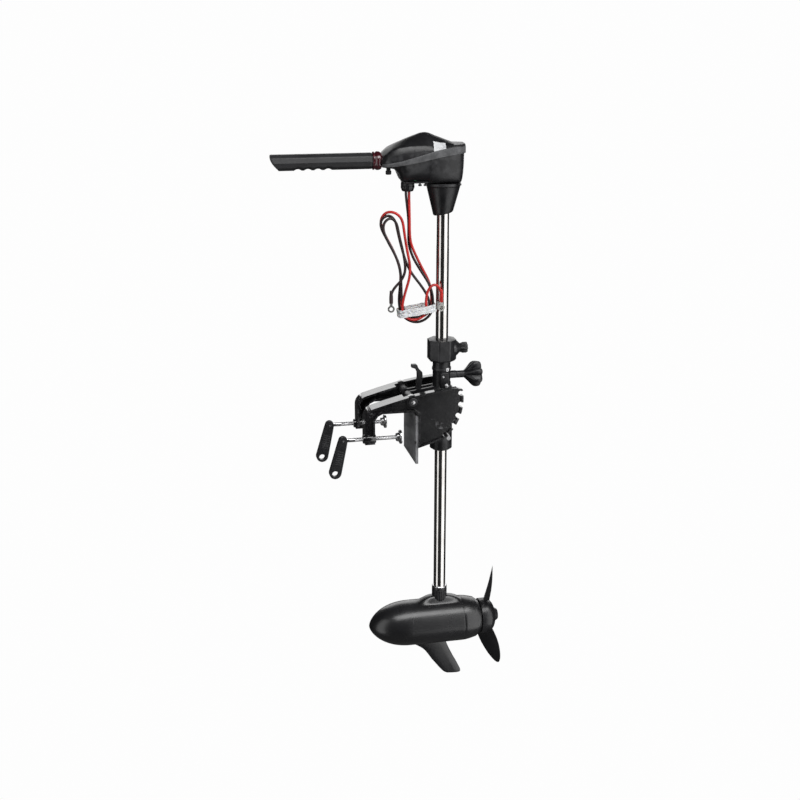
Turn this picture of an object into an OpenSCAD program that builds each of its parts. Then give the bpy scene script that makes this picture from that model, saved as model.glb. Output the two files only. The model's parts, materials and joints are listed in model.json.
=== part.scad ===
// Transom-mount electric trolling motor with a telescoping tiller.
// +Z is up and +X points aft. The origin is on the clamp bracket's transom face, at clamp-screw height.

/* [Shaft] */
// Outside diameter of the steel shaft
shaft_d = 28.6; // [25:0.1:32]
// Wall thickness of the shaft tube
shaft_wall = 1.6; // [1:0.1:3]
// Distance from the transom face back to the shaft axis
shaft_x = 75; // [70:1:80]
// Visible shaft length, from the head's socket to the pod's nut
shaft_visible = 914; // [860:1:960]
// Height of the socket's lower end above the clamp screws
socket_low_z = 503; // [490:1:520]

/* [Head] */
// Width of the control head
head_w = 96; // [88:1:104]
// Height of the tiller axis above the clamp screws
tiller_z = 618; // [614:1:622]
// Wall thickness of the head's shells
head_wall = 3; // [2:0.5:4]

/* [Tiller] */
// Outside diameter of the grip
grip_d = 35.5; // [32:0.5:38]
// Length of the grip
grip_len = 222; // [200:1:240]
// Diameter of the tube that the grip slides on
tiller_tube_d = 20; // [18:0.5:22]

/* [Clamp bracket] */
// Distance between the centres of the two side castings
arm_span = 120; // [114:1:130]
// Width of each casting's rim
rim_w = 16; // [14:1:18]
// Thickness of each casting's web
web_t = 7; // [5:0.5:9]
// Height of the transom plate
plate_h = 116; // [108:1:118]
// Radius of the toothed quadrant about the tilt pivot
quad_r = 118; // [116:0.5:120]
// Angle between two tilt notches
notch_pitch = 13.6; // [13:0.1:14]
// Clamp screw diameter
clamp_d = 9.5; // [8:0.5:10]
// Clamp pad diameter
pad_d = 32; // [26:1:36]

/* [Pod] */
// Outside diameter of the motor pod
pod_d = 110; // [108:1:112]
// Distance from the shaft axis forward to the tip of the nose
nose_reach = 175; // [170:1:180]
// Propeller diameter
prop_d = 236; // [220:1:250]

/* [Battery leads] */
// Outside diameter of each lead
lead_d = 6; // [5:0.5:6]

/* [Hidden] */
$fn = 64;

// small numbers that many parts share
gap = 0.3;
run = 0.05;
shaft_r = shaft_d / 2;
// half length of cuts that pass right through
wide = 100;
// inside and outside of the head in side view cuts
head_y = 60;

// heights along the shaft
nut_top_z = socket_low_z - shaft_visible;
nut_low_z = nut_top_z - 33;
pod_r = pod_d / 2;
pod_z = nut_low_z - 4 - pod_r;
tube_low_z = nut_low_z - 6;
socket_top_z = socket_low_z + 64;

// tilt pivot, in the X-Z plane
pivot_x = -7;
pivot_z = 83;
bolt_r = 6;
notch_r = 5.6;
notch_seat = quad_r - 5;
rest_notch = -47.5;
pin_x = pivot_x + notch_seat * cos(rest_notch);
pin_z = pivot_z + notch_seat * sin(rest_notch);

// tilt lever and its lock yoke, drawn with the pins drawn out of the notches by yoke_out
yoke_out = 10.5;
crank_len = 26;
bar_r = 4;
bar_x = 3 + yoke_out * cos(rest_notch);
bar_z = 66 + yoke_out * sin(rest_notch);
out_x = pin_x + yoke_out * cos(rest_notch);
out_z = pin_z + yoke_out * sin(rest_notch);
mid_x = bar_x - yoke_out / 2 * cos(rest_notch);
mid_z = bar_z - yoke_out / 2 * sin(rest_notch);
lever_x = mid_x - crank_len * sin(rest_notch);
lever_z = mid_z + crank_len * cos(rest_notch);
crank_a = atan2(bar_z - lever_z, bar_x - lever_x);
guide_reach = 20;
guide_x = pin_x - guide_reach * cos(rest_notch);
guide_z = pin_z - guide_reach * sin(rest_notch);
guide_r = 4;

// swivel sleeve
sleeve_r = 26;
neck_r = 20.6;
sleeve_bore_r = 16.6;
sleeve_low_z = -52;
neck_low_z = 96;
sleeve_top_z = 159;
flange_top_z = 164.7;
tension_z = 124;

// depth collar
collar_low_z = flange_top_z + gap;
collar_h = 45;
collar_r = 31.5;
collar_knob_z = collar_low_z + 22;

// bracket
arm_y = arm_span / 2;
plate_t = 6;
plate_low_z = -67;
leg_x0 = -118;
leg_x1 = -95;
under_z = 59;
clamp_r = clamp_d / 2;
rod_end_x = -186;
pad_face_x = -45;
hinge_x = -180;
wound_in = 12;
handle_lean = 14;
handle_len = 92;

// head
head_front_x = -66;
nose_r = 19;
ring_r = 20.5;
grip_root_x = -86;
gland_x = -6;
gland_top_z = 571;
gland_low_z = 550;
gland_r = 9;
lead_gap = 3.5;
button_x = -49;
floor_z = socket_top_z + 8;
cover_screw_at = [[16, 26], [28, 26], [104, 32]];

// ---------- shared shapes ----------

function arc(cx, cz, r, a0, a1, n = 12) =
    [for (i = [0 : n]) [cx + r * cos(a0 + (a1 - a0) * i / n), cz + r * sin(a0 + (a1 - a0) * i / n)]];

// faces of a skin through rings 0 to last, closed at both ends
function skin(last, sides) = concat([[for (k = [sides - 1 : -1 : 0]) k]],
    [[for (k = [0 : sides - 1]) last * sides + k]],
    [for (i = [0 : last - 1], k = [0 : sides - 1]) let (a = i * sides, n = (k + 1) % sides)
        [a + k, a + n, a + sides + n, a + sides + k]]);

module rod_x(x0, x1, r, y = 0, z = 0) {
    translate([x0, y, z]) rotate([0, 90, 0]) cylinder(h = x1 - x0, r = r);
}

module rod_y(y0, y1, r, x = 0, z = 0) {
    translate([x, y0, z]) rotate([-90, 0, 0]) cylinder(h = y1 - y0, r = r);
}

module slab_y(y0, y1) {
    translate([0, y1, 0]) rotate([90, 0, 0]) linear_extrude(y1 - y0) children();
}

module turn_x(profile, z = 0) {
    translate([0, 0, z]) rotate([0, 90, 0]) rotate_extrude() polygon(profile);
}

// places a part on the axis of the left or right clamp screw; the right one is wound further in
module at_clamp(side) {
    translate([side > 0 ? 0 : wound_in, side * arm_y, 0]) children();
}

module turn_z(profile, x = shaft_x) {
    translate([x, 0, 0]) rotate_extrude() polygon(profile);
}

// ---------- clamp bracket ----------

// outline of a side casting, set in by the given distance
function casting_outline(inset) = concat(
    [[leg_x0 + inset, -12 + inset]],
    arc(-90, 46, 28 - inset, 180, 110, 8),
    [[-62, 83 - inset], [-15, 95 - inset], [33, 103.5 - inset], [96 - inset, 110 - inset]],
    arc(pivot_x, pivot_z, quad_r - inset, 11, -52, 24),
    [[plate_t + inset, -28 + inset], [plate_t + inset, 49 + inset], [-2, under_z + inset]],
    [[-78, under_z + inset], [-88, under_z - 5 + inset], [leg_x1 - inset, 44]],
    [[leg_x1 - inset, -12 + inset]]);

module notches() {
    mouth = quad_r + 12;
    for (i = [0 : 4]) {
        a = rest_notch + notch_pitch * i;
        hull() {
            rod_y(-wide, wide, notch_r, pivot_x + notch_seat * cos(a), pivot_z + notch_seat * sin(a));
            rod_y(-wide, wide, notch_r + 1, pivot_x + mouth * cos(a), pivot_z + mouth * sin(a));
        }
    }
}

// the rim's edge all round a casting
module rim_outline() {
    rim_t = 5;
    difference() {
        polygon(casting_outline(0));
        polygon(casting_outline(rim_t));
    }
}

module side_casting(side) {
    y_in = side * arm_y;
    boss_r = 10;
    hub_r = 15;
    flange_y = arm_y - rim_w / 2 - 20;
    flange_end_x = -26;
    color("#141416") difference() {
        union() {
            slab_y(y_in - web_t / 2, y_in + web_t / 2) polygon(casting_outline(0));
            slab_y(y_in - rim_w / 2, y_in + rim_w / 2) rim_outline();
            slab_y(side > 0 ? flange_y : -arm_y, side > 0 ? arm_y : -flange_y) intersection() {
                rim_outline();
                translate([leg_x0, 0]) square([flange_end_x - leg_x0, wide]);
            }
            rod_y(y_in - rim_w / 2, y_in + rim_w / 2, hub_r, pivot_x, pivot_z);
            rod_x(leg_x0 - 4, leg_x1 + 2, boss_r, y_in, 0);
        }
        intersection() {
            notches();
            slab_y(-wide, wide) polygon([[40, -60], [160, -60], [160, 108], [60, 108], [40, 20]]);
        }
        rod_y(-wide, wide, bolt_r, pivot_x, pivot_z);
        rod_x(leg_x0 - 10, leg_x1 + 10, clamp_r + run, y_in, 0);
        for (z = [35, -15]) rod_x(-1, 30, 3, y_in, z);
    }
}
module side_casting_left() { side_casting(1); }
module side_casting_right() { side_casting(-1); }

module transom_plate() {
    half = arm_y + 5;
    color("#55565a") difference() {
        union() {
            translate([0, -half, plate_low_z]) cube([plate_t, 2 * half, plate_h]);
            for (y = [-30, 0, 30]) translate([plate_t, y - 2, plate_low_z + 10]) cube([5, 4, plate_h - 20]);
        }
        for (y = [-arm_y, arm_y], z = [35, -15]) {
            rod_x(-1, 30, 3, y, z);
            translate([-0.01, y, z]) rotate([0, 90, 0]) cylinder(h = 3, r1 = 6, r2 = 3);
        }
    }
}

module plate_screws() {
    color("silver") for (y = [-arm_y, arm_y], z = [35, -15]) difference() {
        union() {
            rod_x(0, 26, 3, y, z);
            translate([0, y, z]) rotate([0, 90, 0]) cylinder(h = 3, r1 = 6, r2 = 3);
        }
        translate([-1, y, z]) rotate([0, 90, 0]) cylinder(h = 2.5, r = 2.2, $fn = 6);
    }
}

module pivot_bolt() {
    y_face = arm_y + rim_w / 2;
    color("silver") difference() {
        union() {
            rod_y(-y_face, y_face + 12, bolt_r, pivot_x, pivot_z);
            rod_y(-y_face - 5, -y_face, 10, pivot_x, pivot_z);
        }
        translate([pivot_x - 1, -y_face - 6, pivot_z - 8]) cube([2, 3, 16]);
    }
}

module pivot_nut() {
    y_face = arm_y + rim_w / 2;
    color("silver") translate([pivot_x, y_face, pivot_z]) rotate([-90, 0, 0]) difference() {
        cylinder(h = 9, r = 11, $fn = 6);
        translate([0, 0, -1]) cylinder(h = 12, r = bolt_r, $fn = 64);
    }
}

// ---------- swivel ----------

module swivel_sleeve() {
    color("#17171a") difference() {
        union() {
            turn_z([[0, sleeve_low_z], [sleeve_r, sleeve_low_z], [sleeve_r, neck_low_z],
                    [neck_r, neck_low_z + 6], [neck_r, sleeve_top_z], [0, sleeve_top_z]]);
            turn_z([[0, 138], [neck_r + 1.6, 138], [neck_r + 1.6, 144], [0, 144]]);
            for (y = [-14, 8]) slab_y(y, y + 6) polygon([[pivot_x, pivot_z - 9], [30, 67], [shaft_x, 54],
                [shaft_x, 104], [pivot_x, pivot_z + 9]]);
            rod_y(8, arm_y - rim_w / 2 - gap, 10, pivot_x, pivot_z);
            rod_y(-arm_y + rim_w / 2 + gap, -8, 10, pivot_x, pivot_z);
            for (y0 = [10, -33]) rod_y(y0, y0 + 23, guide_r, guide_x, guide_z);
            rod_x(shaft_x, shaft_x + 34, 9, 0, tension_z);
        }
        turn_z([[0, sleeve_low_z - 1], [sleeve_bore_r, sleeve_low_z - 1],
                [sleeve_bore_r, sleeve_top_z + 1], [0, sleeve_top_z + 1]]);
        rod_y(-wide, wide, bolt_r + run, pivot_x, pivot_z);
        rod_y(-20, 20, 3, lever_x, lever_z);
        rod_x(shaft_x, shaft_x + 40, 4 + run, 0, tension_z);
    }
}

// plain bush with a flange: in the bore from z_in to z_face, and flanged from z_face to z_end
module bush(z_in, z_face, z_end) {
    color("#d8d4c8") turn_z([[shaft_r + run, z_in], [sleeve_bore_r, z_in], [sleeve_bore_r, z_face],
        [neck_r, z_face], [neck_r, z_end], [shaft_r + run, z_end]]);
}
module upper_bush() { bush(128, sleeve_top_z, flange_top_z); }
module lower_bush() { bush(-20, sleeve_low_z, sleeve_low_z - 4); }

module yoke_cheek(y0, y1) {
    slab_y(y0, y1) difference() {
        hull() {
            translate([bar_x, bar_z]) circle(r = 7, $fn = 32);
            translate([out_x, out_z]) circle(r = 8, $fn = 32);
        }
        hull() for (s = [-1, yoke_out + 1])
            translate([guide_x + s * cos(rest_notch), guide_z + s * sin(rest_notch)])
                circle(r = guide_r + gap, $fn = 32);
    }
}

module lock_yoke() {
    tip_y = arm_y + rim_w / 2 + 2;
    color("#3a3b3e") {
        for (side = [1, -1]) {
            yoke_cheek(side > 0 ? 29 : -33, side > 0 ? 33 : -29);
            rod_y(side > 0 ? 33 : -tip_y, side > 0 ? tip_y : -33, 5, out_x, out_z);
        }
        rod_y(-29, 29, bar_r, bar_x, bar_z);
    }
}

module tilt_lever() {
    color("#1b1c1f") difference() {
        union() {
            rod_y(-5, 5, 10, lever_x, lever_z);
            slab_y(-5, 5) polygon([[lever_x - 9, lever_z], [lever_x + 9, lever_z], [25.5, 96], [28, 112],
                [29.6, 126], [28.6, 134], [22, 141], [18.5, 146], [17, 151], [14, 153.5], [4, 153.5], [3, 150],
                [3.4, 146], [10, 144], [14, 140], [16.4, 134], [16.8, 122], [14.6, 106], [13, 94]]);
            slab_y(-5, 5) hull() {
                translate([lever_x, lever_z]) circle(r = 7, $fn = 32);
                translate([bar_x, bar_z]) circle(r = 8, $fn = 32);
            }
        }
        rod_y(-10, 10, 3 + run, lever_x, lever_z);
        slab_y(-10, 10) hull() for (s = [-1.5, 1.5])
            translate([bar_x + s * cos(crank_a), bar_z + s * sin(crank_a)])
                circle(r = bar_r + gap, $fn = 32);
    }
}

module lever_pin() {
    color("silver") {
        rod_y(-16, 14, 3, lever_x, lever_z);
        rod_y(14, 17, 5, lever_x, lever_z);
    }
}

module lever_spring() {
    wire = 0.6;
    color("silver") translate([lever_x, 5.3, lever_z]) rotate([-90, 0, 0])
        for (i = [0 : 1]) translate([0, 0, wire + i * 1.1]) rotate_extrude()
            translate([4.2, 0]) circle(r = wire, $fn = 16);
}

module tension_stud() {
    color("silver") rod_x(shaft_x + 18, 160, 4, 0, tension_z);
}

module tension_knob() {
    lobes = 7;
    lobe_r = 11;
    color("#101012") difference() {
        turn_x([[0, 110], [8.5, 110], [8.5, 130], [14, 134], [28, 146], [31, 154], [30.5, 162],
            [26, 168], [0, 168]], tension_z);
        for (i = [0 : lobes - 1]) translate([0, 0, tension_z]) rotate([360 / lobes * i, 0, 0])
            rod_x(131, 175, lobe_r, 0, 37);
        rod_x(105, 160, 4, 0, tension_z);
        turn_x([[0, 165], [15, 165], [17, 169], [0, 169]], tension_z);
    }
}

// ---------- depth collar ----------

module depth_collar() {
    corner_r = collar_r / cos(22.5);
    skirt = 5;
    color("#121214") difference() {
        union() {
            translate([shaft_x, 0, collar_low_z - skirt]) linear_extrude(collar_h + skirt)
                polygon([for (i = [0 : 7]) corner_r * [cos(22.5 + 45 * i), sin(22.5 + 45 * i)]]);
            translate([shaft_x + 22, 0, collar_knob_z]) rotate([0, 90, 0]) cylinder(h = 20, r1 = 14, r2 = 11);
        }
        translate([shaft_x, 0, collar_low_z - skirt - 1]) cylinder(h = skirt + 1, r = neck_r + 2 * gap);
        translate([shaft_x, 0, collar_low_z - 1]) cylinder(h = collar_h + 2, r = shaft_r + run);
        rod_x(shaft_x + 10, shaft_x + 60, 4 + run, 0, collar_knob_z);
    }
}

module collar_knob() {
    color("#101012") difference() {
        union() {
            rod_x(shaft_x + shaft_r + gap, shaft_x + 46, 4, 0, collar_knob_z);
            rod_x(shaft_x + 42.5, shaft_x + 60, 13, 0, collar_knob_z);
        }
        for (i = [0 : 11]) translate([0, 0, collar_knob_z]) rotate([30 * i, 0, 0])
            rod_x(shaft_x + 46, shaft_x + 61, 1.6, 0, 14);
    }
}

// ---------- shaft and head ----------

module shaft_tube() {
    top = socket_top_z + 20;
    color("#c9ccd0") turn_z([[shaft_r - shaft_wall, tube_low_z], [shaft_r, tube_low_z],
        [shaft_r, top], [shaft_r - shaft_wall, top]]);
}

module shaft_socket() {
    color("#131315") turn_z([[shaft_r, socket_low_z + 2], [shaft_r + 1, socket_low_z], [22, socket_low_z],
        [23.5, socket_low_z + 3], [38, socket_top_z - 8], [39, socket_top_z], [shaft_r, socket_top_z]]);
}

// side view of the head below the band, and of the cover above it
housing_side = [[-64, 603.5], [-46, 601.5], [-33, 598], [-28, 590], [-23, 576], [-17, socket_top_z + 4],
                [34, socket_top_z], [108, socket_top_z], [112, socket_top_z + 4], [116, 633], [-65, 606]];
housing_inside = [[-61, 608], [-44, 605], [-31, 602], [-25, 592], [-20, 580], [-14, floor_z],
                  [104, floor_z], [108, 700], [-61, 700]];
band_top = [[-80, 611], [-68, 612.7], [-29, 619.7], [10, 630], [40, 638.5], [69, 644.5], [89, 647.5],
            [130, 648.5]];
band_low = [[130, 633.5], [107, 632.9], [76, 629.5], [49, 624.5], [10, 616.3], [-29, 610], [-68, 606],
            [-80, 603.5]];
cover_side = [[-69, 613], [-69.5, 640], [-66, 645], [-54, 648], [-15, 663], [22, 676], [31, 677.5],
              [42, 675.5], [84, 661], [112, 650.5], [117.5, 646]];

// half width of the head at a station along X, rounded at both ends
function half_width(x) = head_w / 2 * pow(1 - pow(abs(x - 25) / 96, 5), 1 / 3);

// plan outline of the head, set in by the given distance
function head_plan(inset) = let (n = 24, xa = -70 + inset, xb = 118 - inset)
    concat([for (i = [0 : n]) let (x = 24 - 94 * cos(180 * i / n) * (1 - inset / 94))
            [x, max(0.1, half_width(24 + (x - 24) / (1 - inset / 94)) - inset)]],
           [for (i = [n : -1 : 0]) let (x = 24 - 94 * cos(180 * i / n) * (1 - inset / 94))
            [x, -max(0.1, half_width(24 + (x - 24) / (1 - inset / 94)) - inset)]]);

module head_prism(inset, z0, z1) {
    translate([0, 0, z0]) linear_extrude(z1 - z0) polygon(head_plan(inset));
}

module lower_housing() {
    color("#141416") difference() {
        union() {
            intersection() {
                head_prism(2, 560, 660);
                slab_y(-head_y, head_y) polygon(housing_side);
            }
            rod_x(head_front_x, -20, nose_r, 0, tiller_z);
        }
        intersection() {
            head_prism(2 + head_wall, 560, 700);
            slab_y(-head_y, head_y) polygon(housing_inside);
        }
        rod_x(head_front_x - 1, -10, tiller_tube_d / 2 + run, 0, tiller_z);
        translate([gland_x, 0, 540]) cylinder(h = 60, r = gland_r);
        translate([gland_x, 0, 540]) cylinder(h = gland_top_z + gap - 540, r = 15 + gap);
        translate([shaft_x, 0, 560]) cylinder(h = 20, r = shaft_r);
        translate([button_x, 0, 560]) cylinder(h = 50, r = 5 + gap);
        for (at = cover_screw_at, side = [-1, 1])
            translate([at[0], side * at[1], 560]) cylinder(h = 12, r = 2);
    }
}

// room for the housing's nose and for the red ring in front of it
module tiller_way() {
    rod_x(-100, 0, nose_r + gap, 0, tiller_z);
    rod_x(-100, head_front_x, ring_r + gap, 0, tiller_z);
}

module trim_band() {
    color("#4c4d50") difference() {
        intersection() {
            head_prism(-0.6, 590, 670);
            slab_y(-head_y, head_y) polygon(concat(band_top, band_low));
        }
        intersection() {
            head_prism(4, 580, 690);
            slab_y(-head_y, head_y) polygon([[-90, 560], [140, 560], [140, 700], [-90, 700]]);
        }
        intersection() {
            head_prism(2, 560, 660);
            slab_y(-head_y, head_y) polygon(housing_side);
        }
        tiller_way();
    }
}

module top_cover() {
    color("#121214") difference() {
        intersection() {
            head_prism(0, 600, 700);
            slab_y(-head_y, head_y) polygon(cover_side);
        }
        intersection() {
            head_prism(head_wall, 560, 700);
            slab_y(-head_y, head_y) polygon([[-66, 560], [-66, 638], [-54, 643], [-15, 658], [22, 671],
                [31, 672.5], [42, 670.5], [84, 656], [108, 647], [108, 560]]);
        }
        slab_y(-head_y, head_y) polygon(concat(band_top, [[130, 560], [-80, 560]]));
        tiller_way();
    }
}

module cover_screws() {
    color("#8a8c90") for (at = cover_screw_at, side = [-1, 1])
        translate([at[0], side * at[1], socket_top_z - 4]) {
            cylinder(h = 4, r = 4);
            cylinder(h = 7, r = 2);
        }
}

module label_plate() {
    color("#b9bcc0") translate([55, -head_w / 2, 651.5]) rotate([90, -10, 0]) linear_extrude(1.4)
        square([28, 14], center = true);
}

module control_board() {
    board_z = 596;
    color("#2f6b3a") {
        translate([0, -30, board_z]) cube([60, 60, 1.6]);
        for (y = [-18, 10]) translate([10, y, board_z + 1.6]) cube([30, 10, 12]);
        for (x = [4, 52], y = [-26, 22]) translate([x, y, floor_z]) cube([4, 4, board_z - floor_z]);
    }
}

module lock_button() {
    color("#0e0e10") {
        translate([button_x, 0, 587]) cylinder(h = 8.6, r = 6.3);
        translate([button_x, 0, 595]) cylinder(h = 9.5, r = 4.7);
    }
}

module tiller_tube() {
    r = tiller_tube_d / 2;
    color("#8e9094") {
        turn_x([[r - 2, -270], [r, -270], [r, -12], [r - 2, -12]], tiller_z);
        turn_x([[0, -12], [14, -12], [14, -4], [0, -4]], tiller_z);
    }
}

module tiller_ring() {
    color("#7a1a1f") turn_x([[tiller_tube_d / 2, -85.5], [ring_r - 1, -85.5], [ring_r, -84], [ring_r, -68],
        [ring_r - 1, head_front_x - gap], [tiller_tube_d / 2, head_front_x - gap]], tiller_z);
}

module tiller_grip() {
    r = grip_d / 2;
    tip_x = grip_root_x - grip_len;
    color("#1d1d20") difference() {
        turn_x([[0, tip_x], [r - 6, tip_x], [r - 1.5, tip_x + 5], [r, tip_x + 12], [r, grip_root_x - 3],
                [r - 1, grip_root_x], [0, grip_root_x]], tiller_z);
        rod_x(tip_x + 8, grip_root_x + 1, tiller_tube_d / 2 + run, 0, tiller_z);
        for (i = [0 : 3]) rod_y(-30, 30, 9, tip_x + 59 + 22 * i, tiller_z - r - 5.5);
        translate([tip_x, 0, tiller_z]) slab_y(-30, 30) polygon([[-10, -34], [22, -34], [-10, 22]]);
    }
}

module gland_body() {
    color("#101012") translate([gland_x, 0, 0]) difference() {
        union() {
            translate([0, 0, gland_top_z - 10]) cylinder(h = 10, r1 = 12, r2 = 15);
            translate([0, 0, gland_low_z + 4]) cylinder(h = 36, r = gland_r);
        }
        for (x = [-lead_gap, lead_gap]) translate([x, 0, gland_low_z]) cylinder(h = 60, r = lead_d / 2);
    }
}

module gland_nut() {
    color("#0e0e10") translate([gland_x, 0, 0]) difference() {
        translate([0, 0, gland_low_z]) cylinder(h = 11, r = 15.5, $fn = 6);
        translate([0, 0, gland_low_z + 4]) cylinder(h = 10, r = gland_r);
        for (x = [-lead_gap, lead_gap]) translate([x, 0, gland_low_z - 1]) cylinder(h = 10, r = lead_d / 2);
    }
}

// ---------- transom clamps ----------

module clamp_screw(side) {
    tang = 20.5;
    color("#c8cace") at_clamp(side) difference() {
        union() {
            rod_x(rod_end_x, pad_face_x - 3, clamp_r);
            turn_x([[0, pad_face_x - 6], [7, pad_face_x - 4], [7, pad_face_x - 3], [0, pad_face_x - 3]]);
        }
        for (y = [3, -8]) translate([rod_end_x - 1, y, -6]) cube([tang, 5, 12]);
        rod_y(-wide, wide, 2, hinge_x, 0);
    }
}
module clamp_screw_left() { clamp_screw(1); }
module clamp_screw_right() { clamp_screw(-1); }

module clamp_pad(side) {
    r = pad_d / 2;
    color("#c8cace") at_clamp(side) difference() {
        turn_x([[0, pad_face_x - 12], [9, pad_face_x - 12], [11, pad_face_x - 6], [r, pad_face_x - 4],
            [r, pad_face_x], [0, pad_face_x]]);
        turn_x([[0, pad_face_x - 13], [clamp_r + gap, pad_face_x - 13], [clamp_r + gap, pad_face_x - 6.4],
            [7 + gap, pad_face_x - 4.4], [7 + gap, pad_face_x - 3 + gap], [0, pad_face_x - 3 + gap]]);
    }
}
module clamp_pad_left() { clamp_pad(1); }
module clamp_pad_right() { clamp_pad(-1); }

module clamp_handle(side) {
    slot_half = 3.2;
    end_r = 14;
    color("#111113") at_clamp(side) translate([hinge_x, 0, 0]) rotate([0, handle_lean, 0]) difference() {
        union() {
            slab_y(-6, 6) polygon(concat(arc(0, 0, 10, 180, 0, 12), [[11, -14], [end_r, -handle_len + end_r]],
                arc(0, -handle_len + end_r, end_r, 0, -180, 12), [[-11, -14]]));
            for (z = [-58 : 5 : -28]) slab_y(-7, 7) translate([-7, z]) square([14, 2]);
        }
        rod_y(-20, 20, 2 + run, 0, 0);
        rod_y(-20, 20, 7, 0, -handle_len + 12);
        translate([-20, -slot_half, -9]) cube([40, 2 * slot_half, 40]);
    }
}
module clamp_handle_left() { clamp_handle(1); }
module clamp_handle_right() { clamp_handle(-1); }

module handle_pins(side) {
    color("silver") at_clamp(side) rod_y(-7, 7, 2, hinge_x, 0);
}
module handle_pins_left() { handle_pins(1); }
module handle_pins_right() { handle_pins(-1); }

// ---------- pod ----------

module coupling_nut() {
    color("#101012") translate([shaft_x, 0, 0]) difference() {
        translate([0, 0, nut_low_z]) cylinder(h = nut_top_z - nut_low_z, r = 18.3);
        translate([0, 0, nut_low_z - 1]) cylinder(h = 60, r = shaft_r);
        for (i = [0 : 17]) rotate([0, 0, 20 * i]) translate([19, 0, nut_low_z - 1]) cylinder(h = 28, r = 1.5);
    }
}

joint_a_x = 0;
joint_b_x = 128;
tail_x = 174;
tail_r = 40;
nose_x = shaft_x - nose_reach;
cavity_r = pod_r - 4;
motor_r = 5;

// radius of the nose at a share t of its length, from joint to tip
function nose_radius(t) = pod_r * pow(1 - pow(t, 2.2), 0.62);
function nose_profile(r_off) = let (n = 20, len = joint_a_x - nose_x - r_off)
    [for (i = [0 : n]) [max(0, nose_radius(i / n) - r_off), joint_a_x - len * i / n]];

module nose_cone() {
    color("#2b2b2e") difference() {
        turn_x(concat([[0, joint_a_x]], nose_profile(0)), pod_z);
        turn_x(concat([[0, joint_a_x + 1], [cavity_r, joint_a_x + 1]],
            [for (p = nose_profile(4)) [min(p[0], cavity_r), p[1]]]), pod_z);
    }
    color("#2b2b2e") turn_x([[11, -22], [17, -22], [17, joint_a_x - 2], [cavity_r + 0.5, joint_a_x - 2],
        [cavity_r + 0.5, joint_a_x], [11, joint_a_x]], pod_z);
}

module pod_body() {
    top_z = pod_z + pod_r;
    color("#2b2b2e") difference() {
        union() {
            rod_x(joint_a_x, joint_b_x, pod_r, 0, pod_z);
            hull() {
                translate([36, 0, top_z - 9]) sphere(r = 10, $fn = 32);
                translate([shaft_x, 0, nut_low_z - 14]) cylinder(h = 19, r = 23, $fn = 32);
                translate([108, 0, top_z - 2]) sphere(r = 12, $fn = 32);
                translate([118, 0, top_z - 9]) sphere(r = 9, $fn = 32);
            }
        }
        rod_x(joint_a_x - 1, joint_b_x + 1, cavity_r, 0, pod_z);
        translate([shaft_x, 0, tube_low_z]) cylinder(h = 40, r = shaft_r);
        translate([shaft_x, 0, nut_low_z]) cylinder(h = 40, r = 18.3 + gap);
        translate([shaft_x, 0, pod_z + 30]) cylinder(h = 60, r = shaft_r - shaft_wall - 1);
    }
}

module rear_cap() {
    color("#2b2b2e") difference() {
        turn_x([[0, joint_b_x], [pod_r, joint_b_x], [pod_r - 2, joint_b_x + 18], [pod_r - 6, joint_b_x + 34],
                [tail_r, tail_x], [0, tail_x]], pod_z);
        turn_x([[0, joint_b_x - 1], [cavity_r, joint_b_x - 1], [cavity_r - 3, joint_b_x + 18],
                [17, joint_b_x + 30], [17, tail_x - 12], [11, tail_x - 12], [11, tail_x + 1],
                [0, tail_x + 1]], pod_z);
    }
}

module skeg() {
    root_z = pod_z - pod_r;
    color("#2b2b2e") difference() {
        slab_y(-4, 4) polygon([[8, root_z + 12], [8, root_z - 3], [24, root_z - 12], [38, root_z - 23],
            [48, root_z - 38], [58, root_z - 53], [70, root_z - 68], [80, root_z - 81], [88, root_z - 90],
            [96, root_z - 94], [124, root_z - 96], [132, root_z - 94], [131, root_z - 86],
            [111, root_z - 47], [94, root_z - 12], [92, root_z + 12]]);
        rod_x(0, 140, pod_r, 0, pod_z);
    }
}

module magnets() {
    color("#3c3c40") translate([0, 0, pod_z]) difference() {
        rod_x(8, 84, cavity_r, 0, 0);
        rod_x(7, 85, cavity_r - 8, 0, 0);
        for (a = [0, 90]) rotate([a + 45, 0, 0]) translate([0, -60, -6]) cube([100, 120, 12]);
    }
}

module armature() {
    slots = 12;
    color("#9a5a2a") translate([0, 0, pod_z]) difference() {
        union() {
            rod_x(14, 78, 38, 0, 0);
            rod_x(78, 104, 18, 0, 0);
        }
        rod_x(0, 120, motor_r, 0, 0);
        for (i = [0 : slots - 1]) rotate([360 / slots * i, 0, 0]) translate([10, -1.5, 33]) cube([72, 3, 8]);
    }
}

module motor_shaft() {
    color("silver") translate([0, 0, pod_z]) difference() {
        rod_x(-20, 220, motor_r, 0, 0);
        rod_y(-30, 30, 2, 186, 0);
    }
}

module pod_bearings() {
    color("#b08d57") for (x = [-20, 150]) turn_x([[motor_r + run, x], [x < 0 ? 11 : 17, x],
        [x < 0 ? 11 : 17, x + 10], [motor_r + run, x + 10]], pod_z);
}

module shaft_seal() {
    color("#0c0c0c") turn_x([[motor_r + run, tail_x - 11], [11, tail_x - 11], [11, tail_x - 2],
        [motor_r + run, tail_x - 2]], pod_z);
}

// ---------- propeller ----------

// how far the tip is swept along its chord, and how far it leans aft
blade_skew = 26;
blade_rake = 14;

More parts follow.
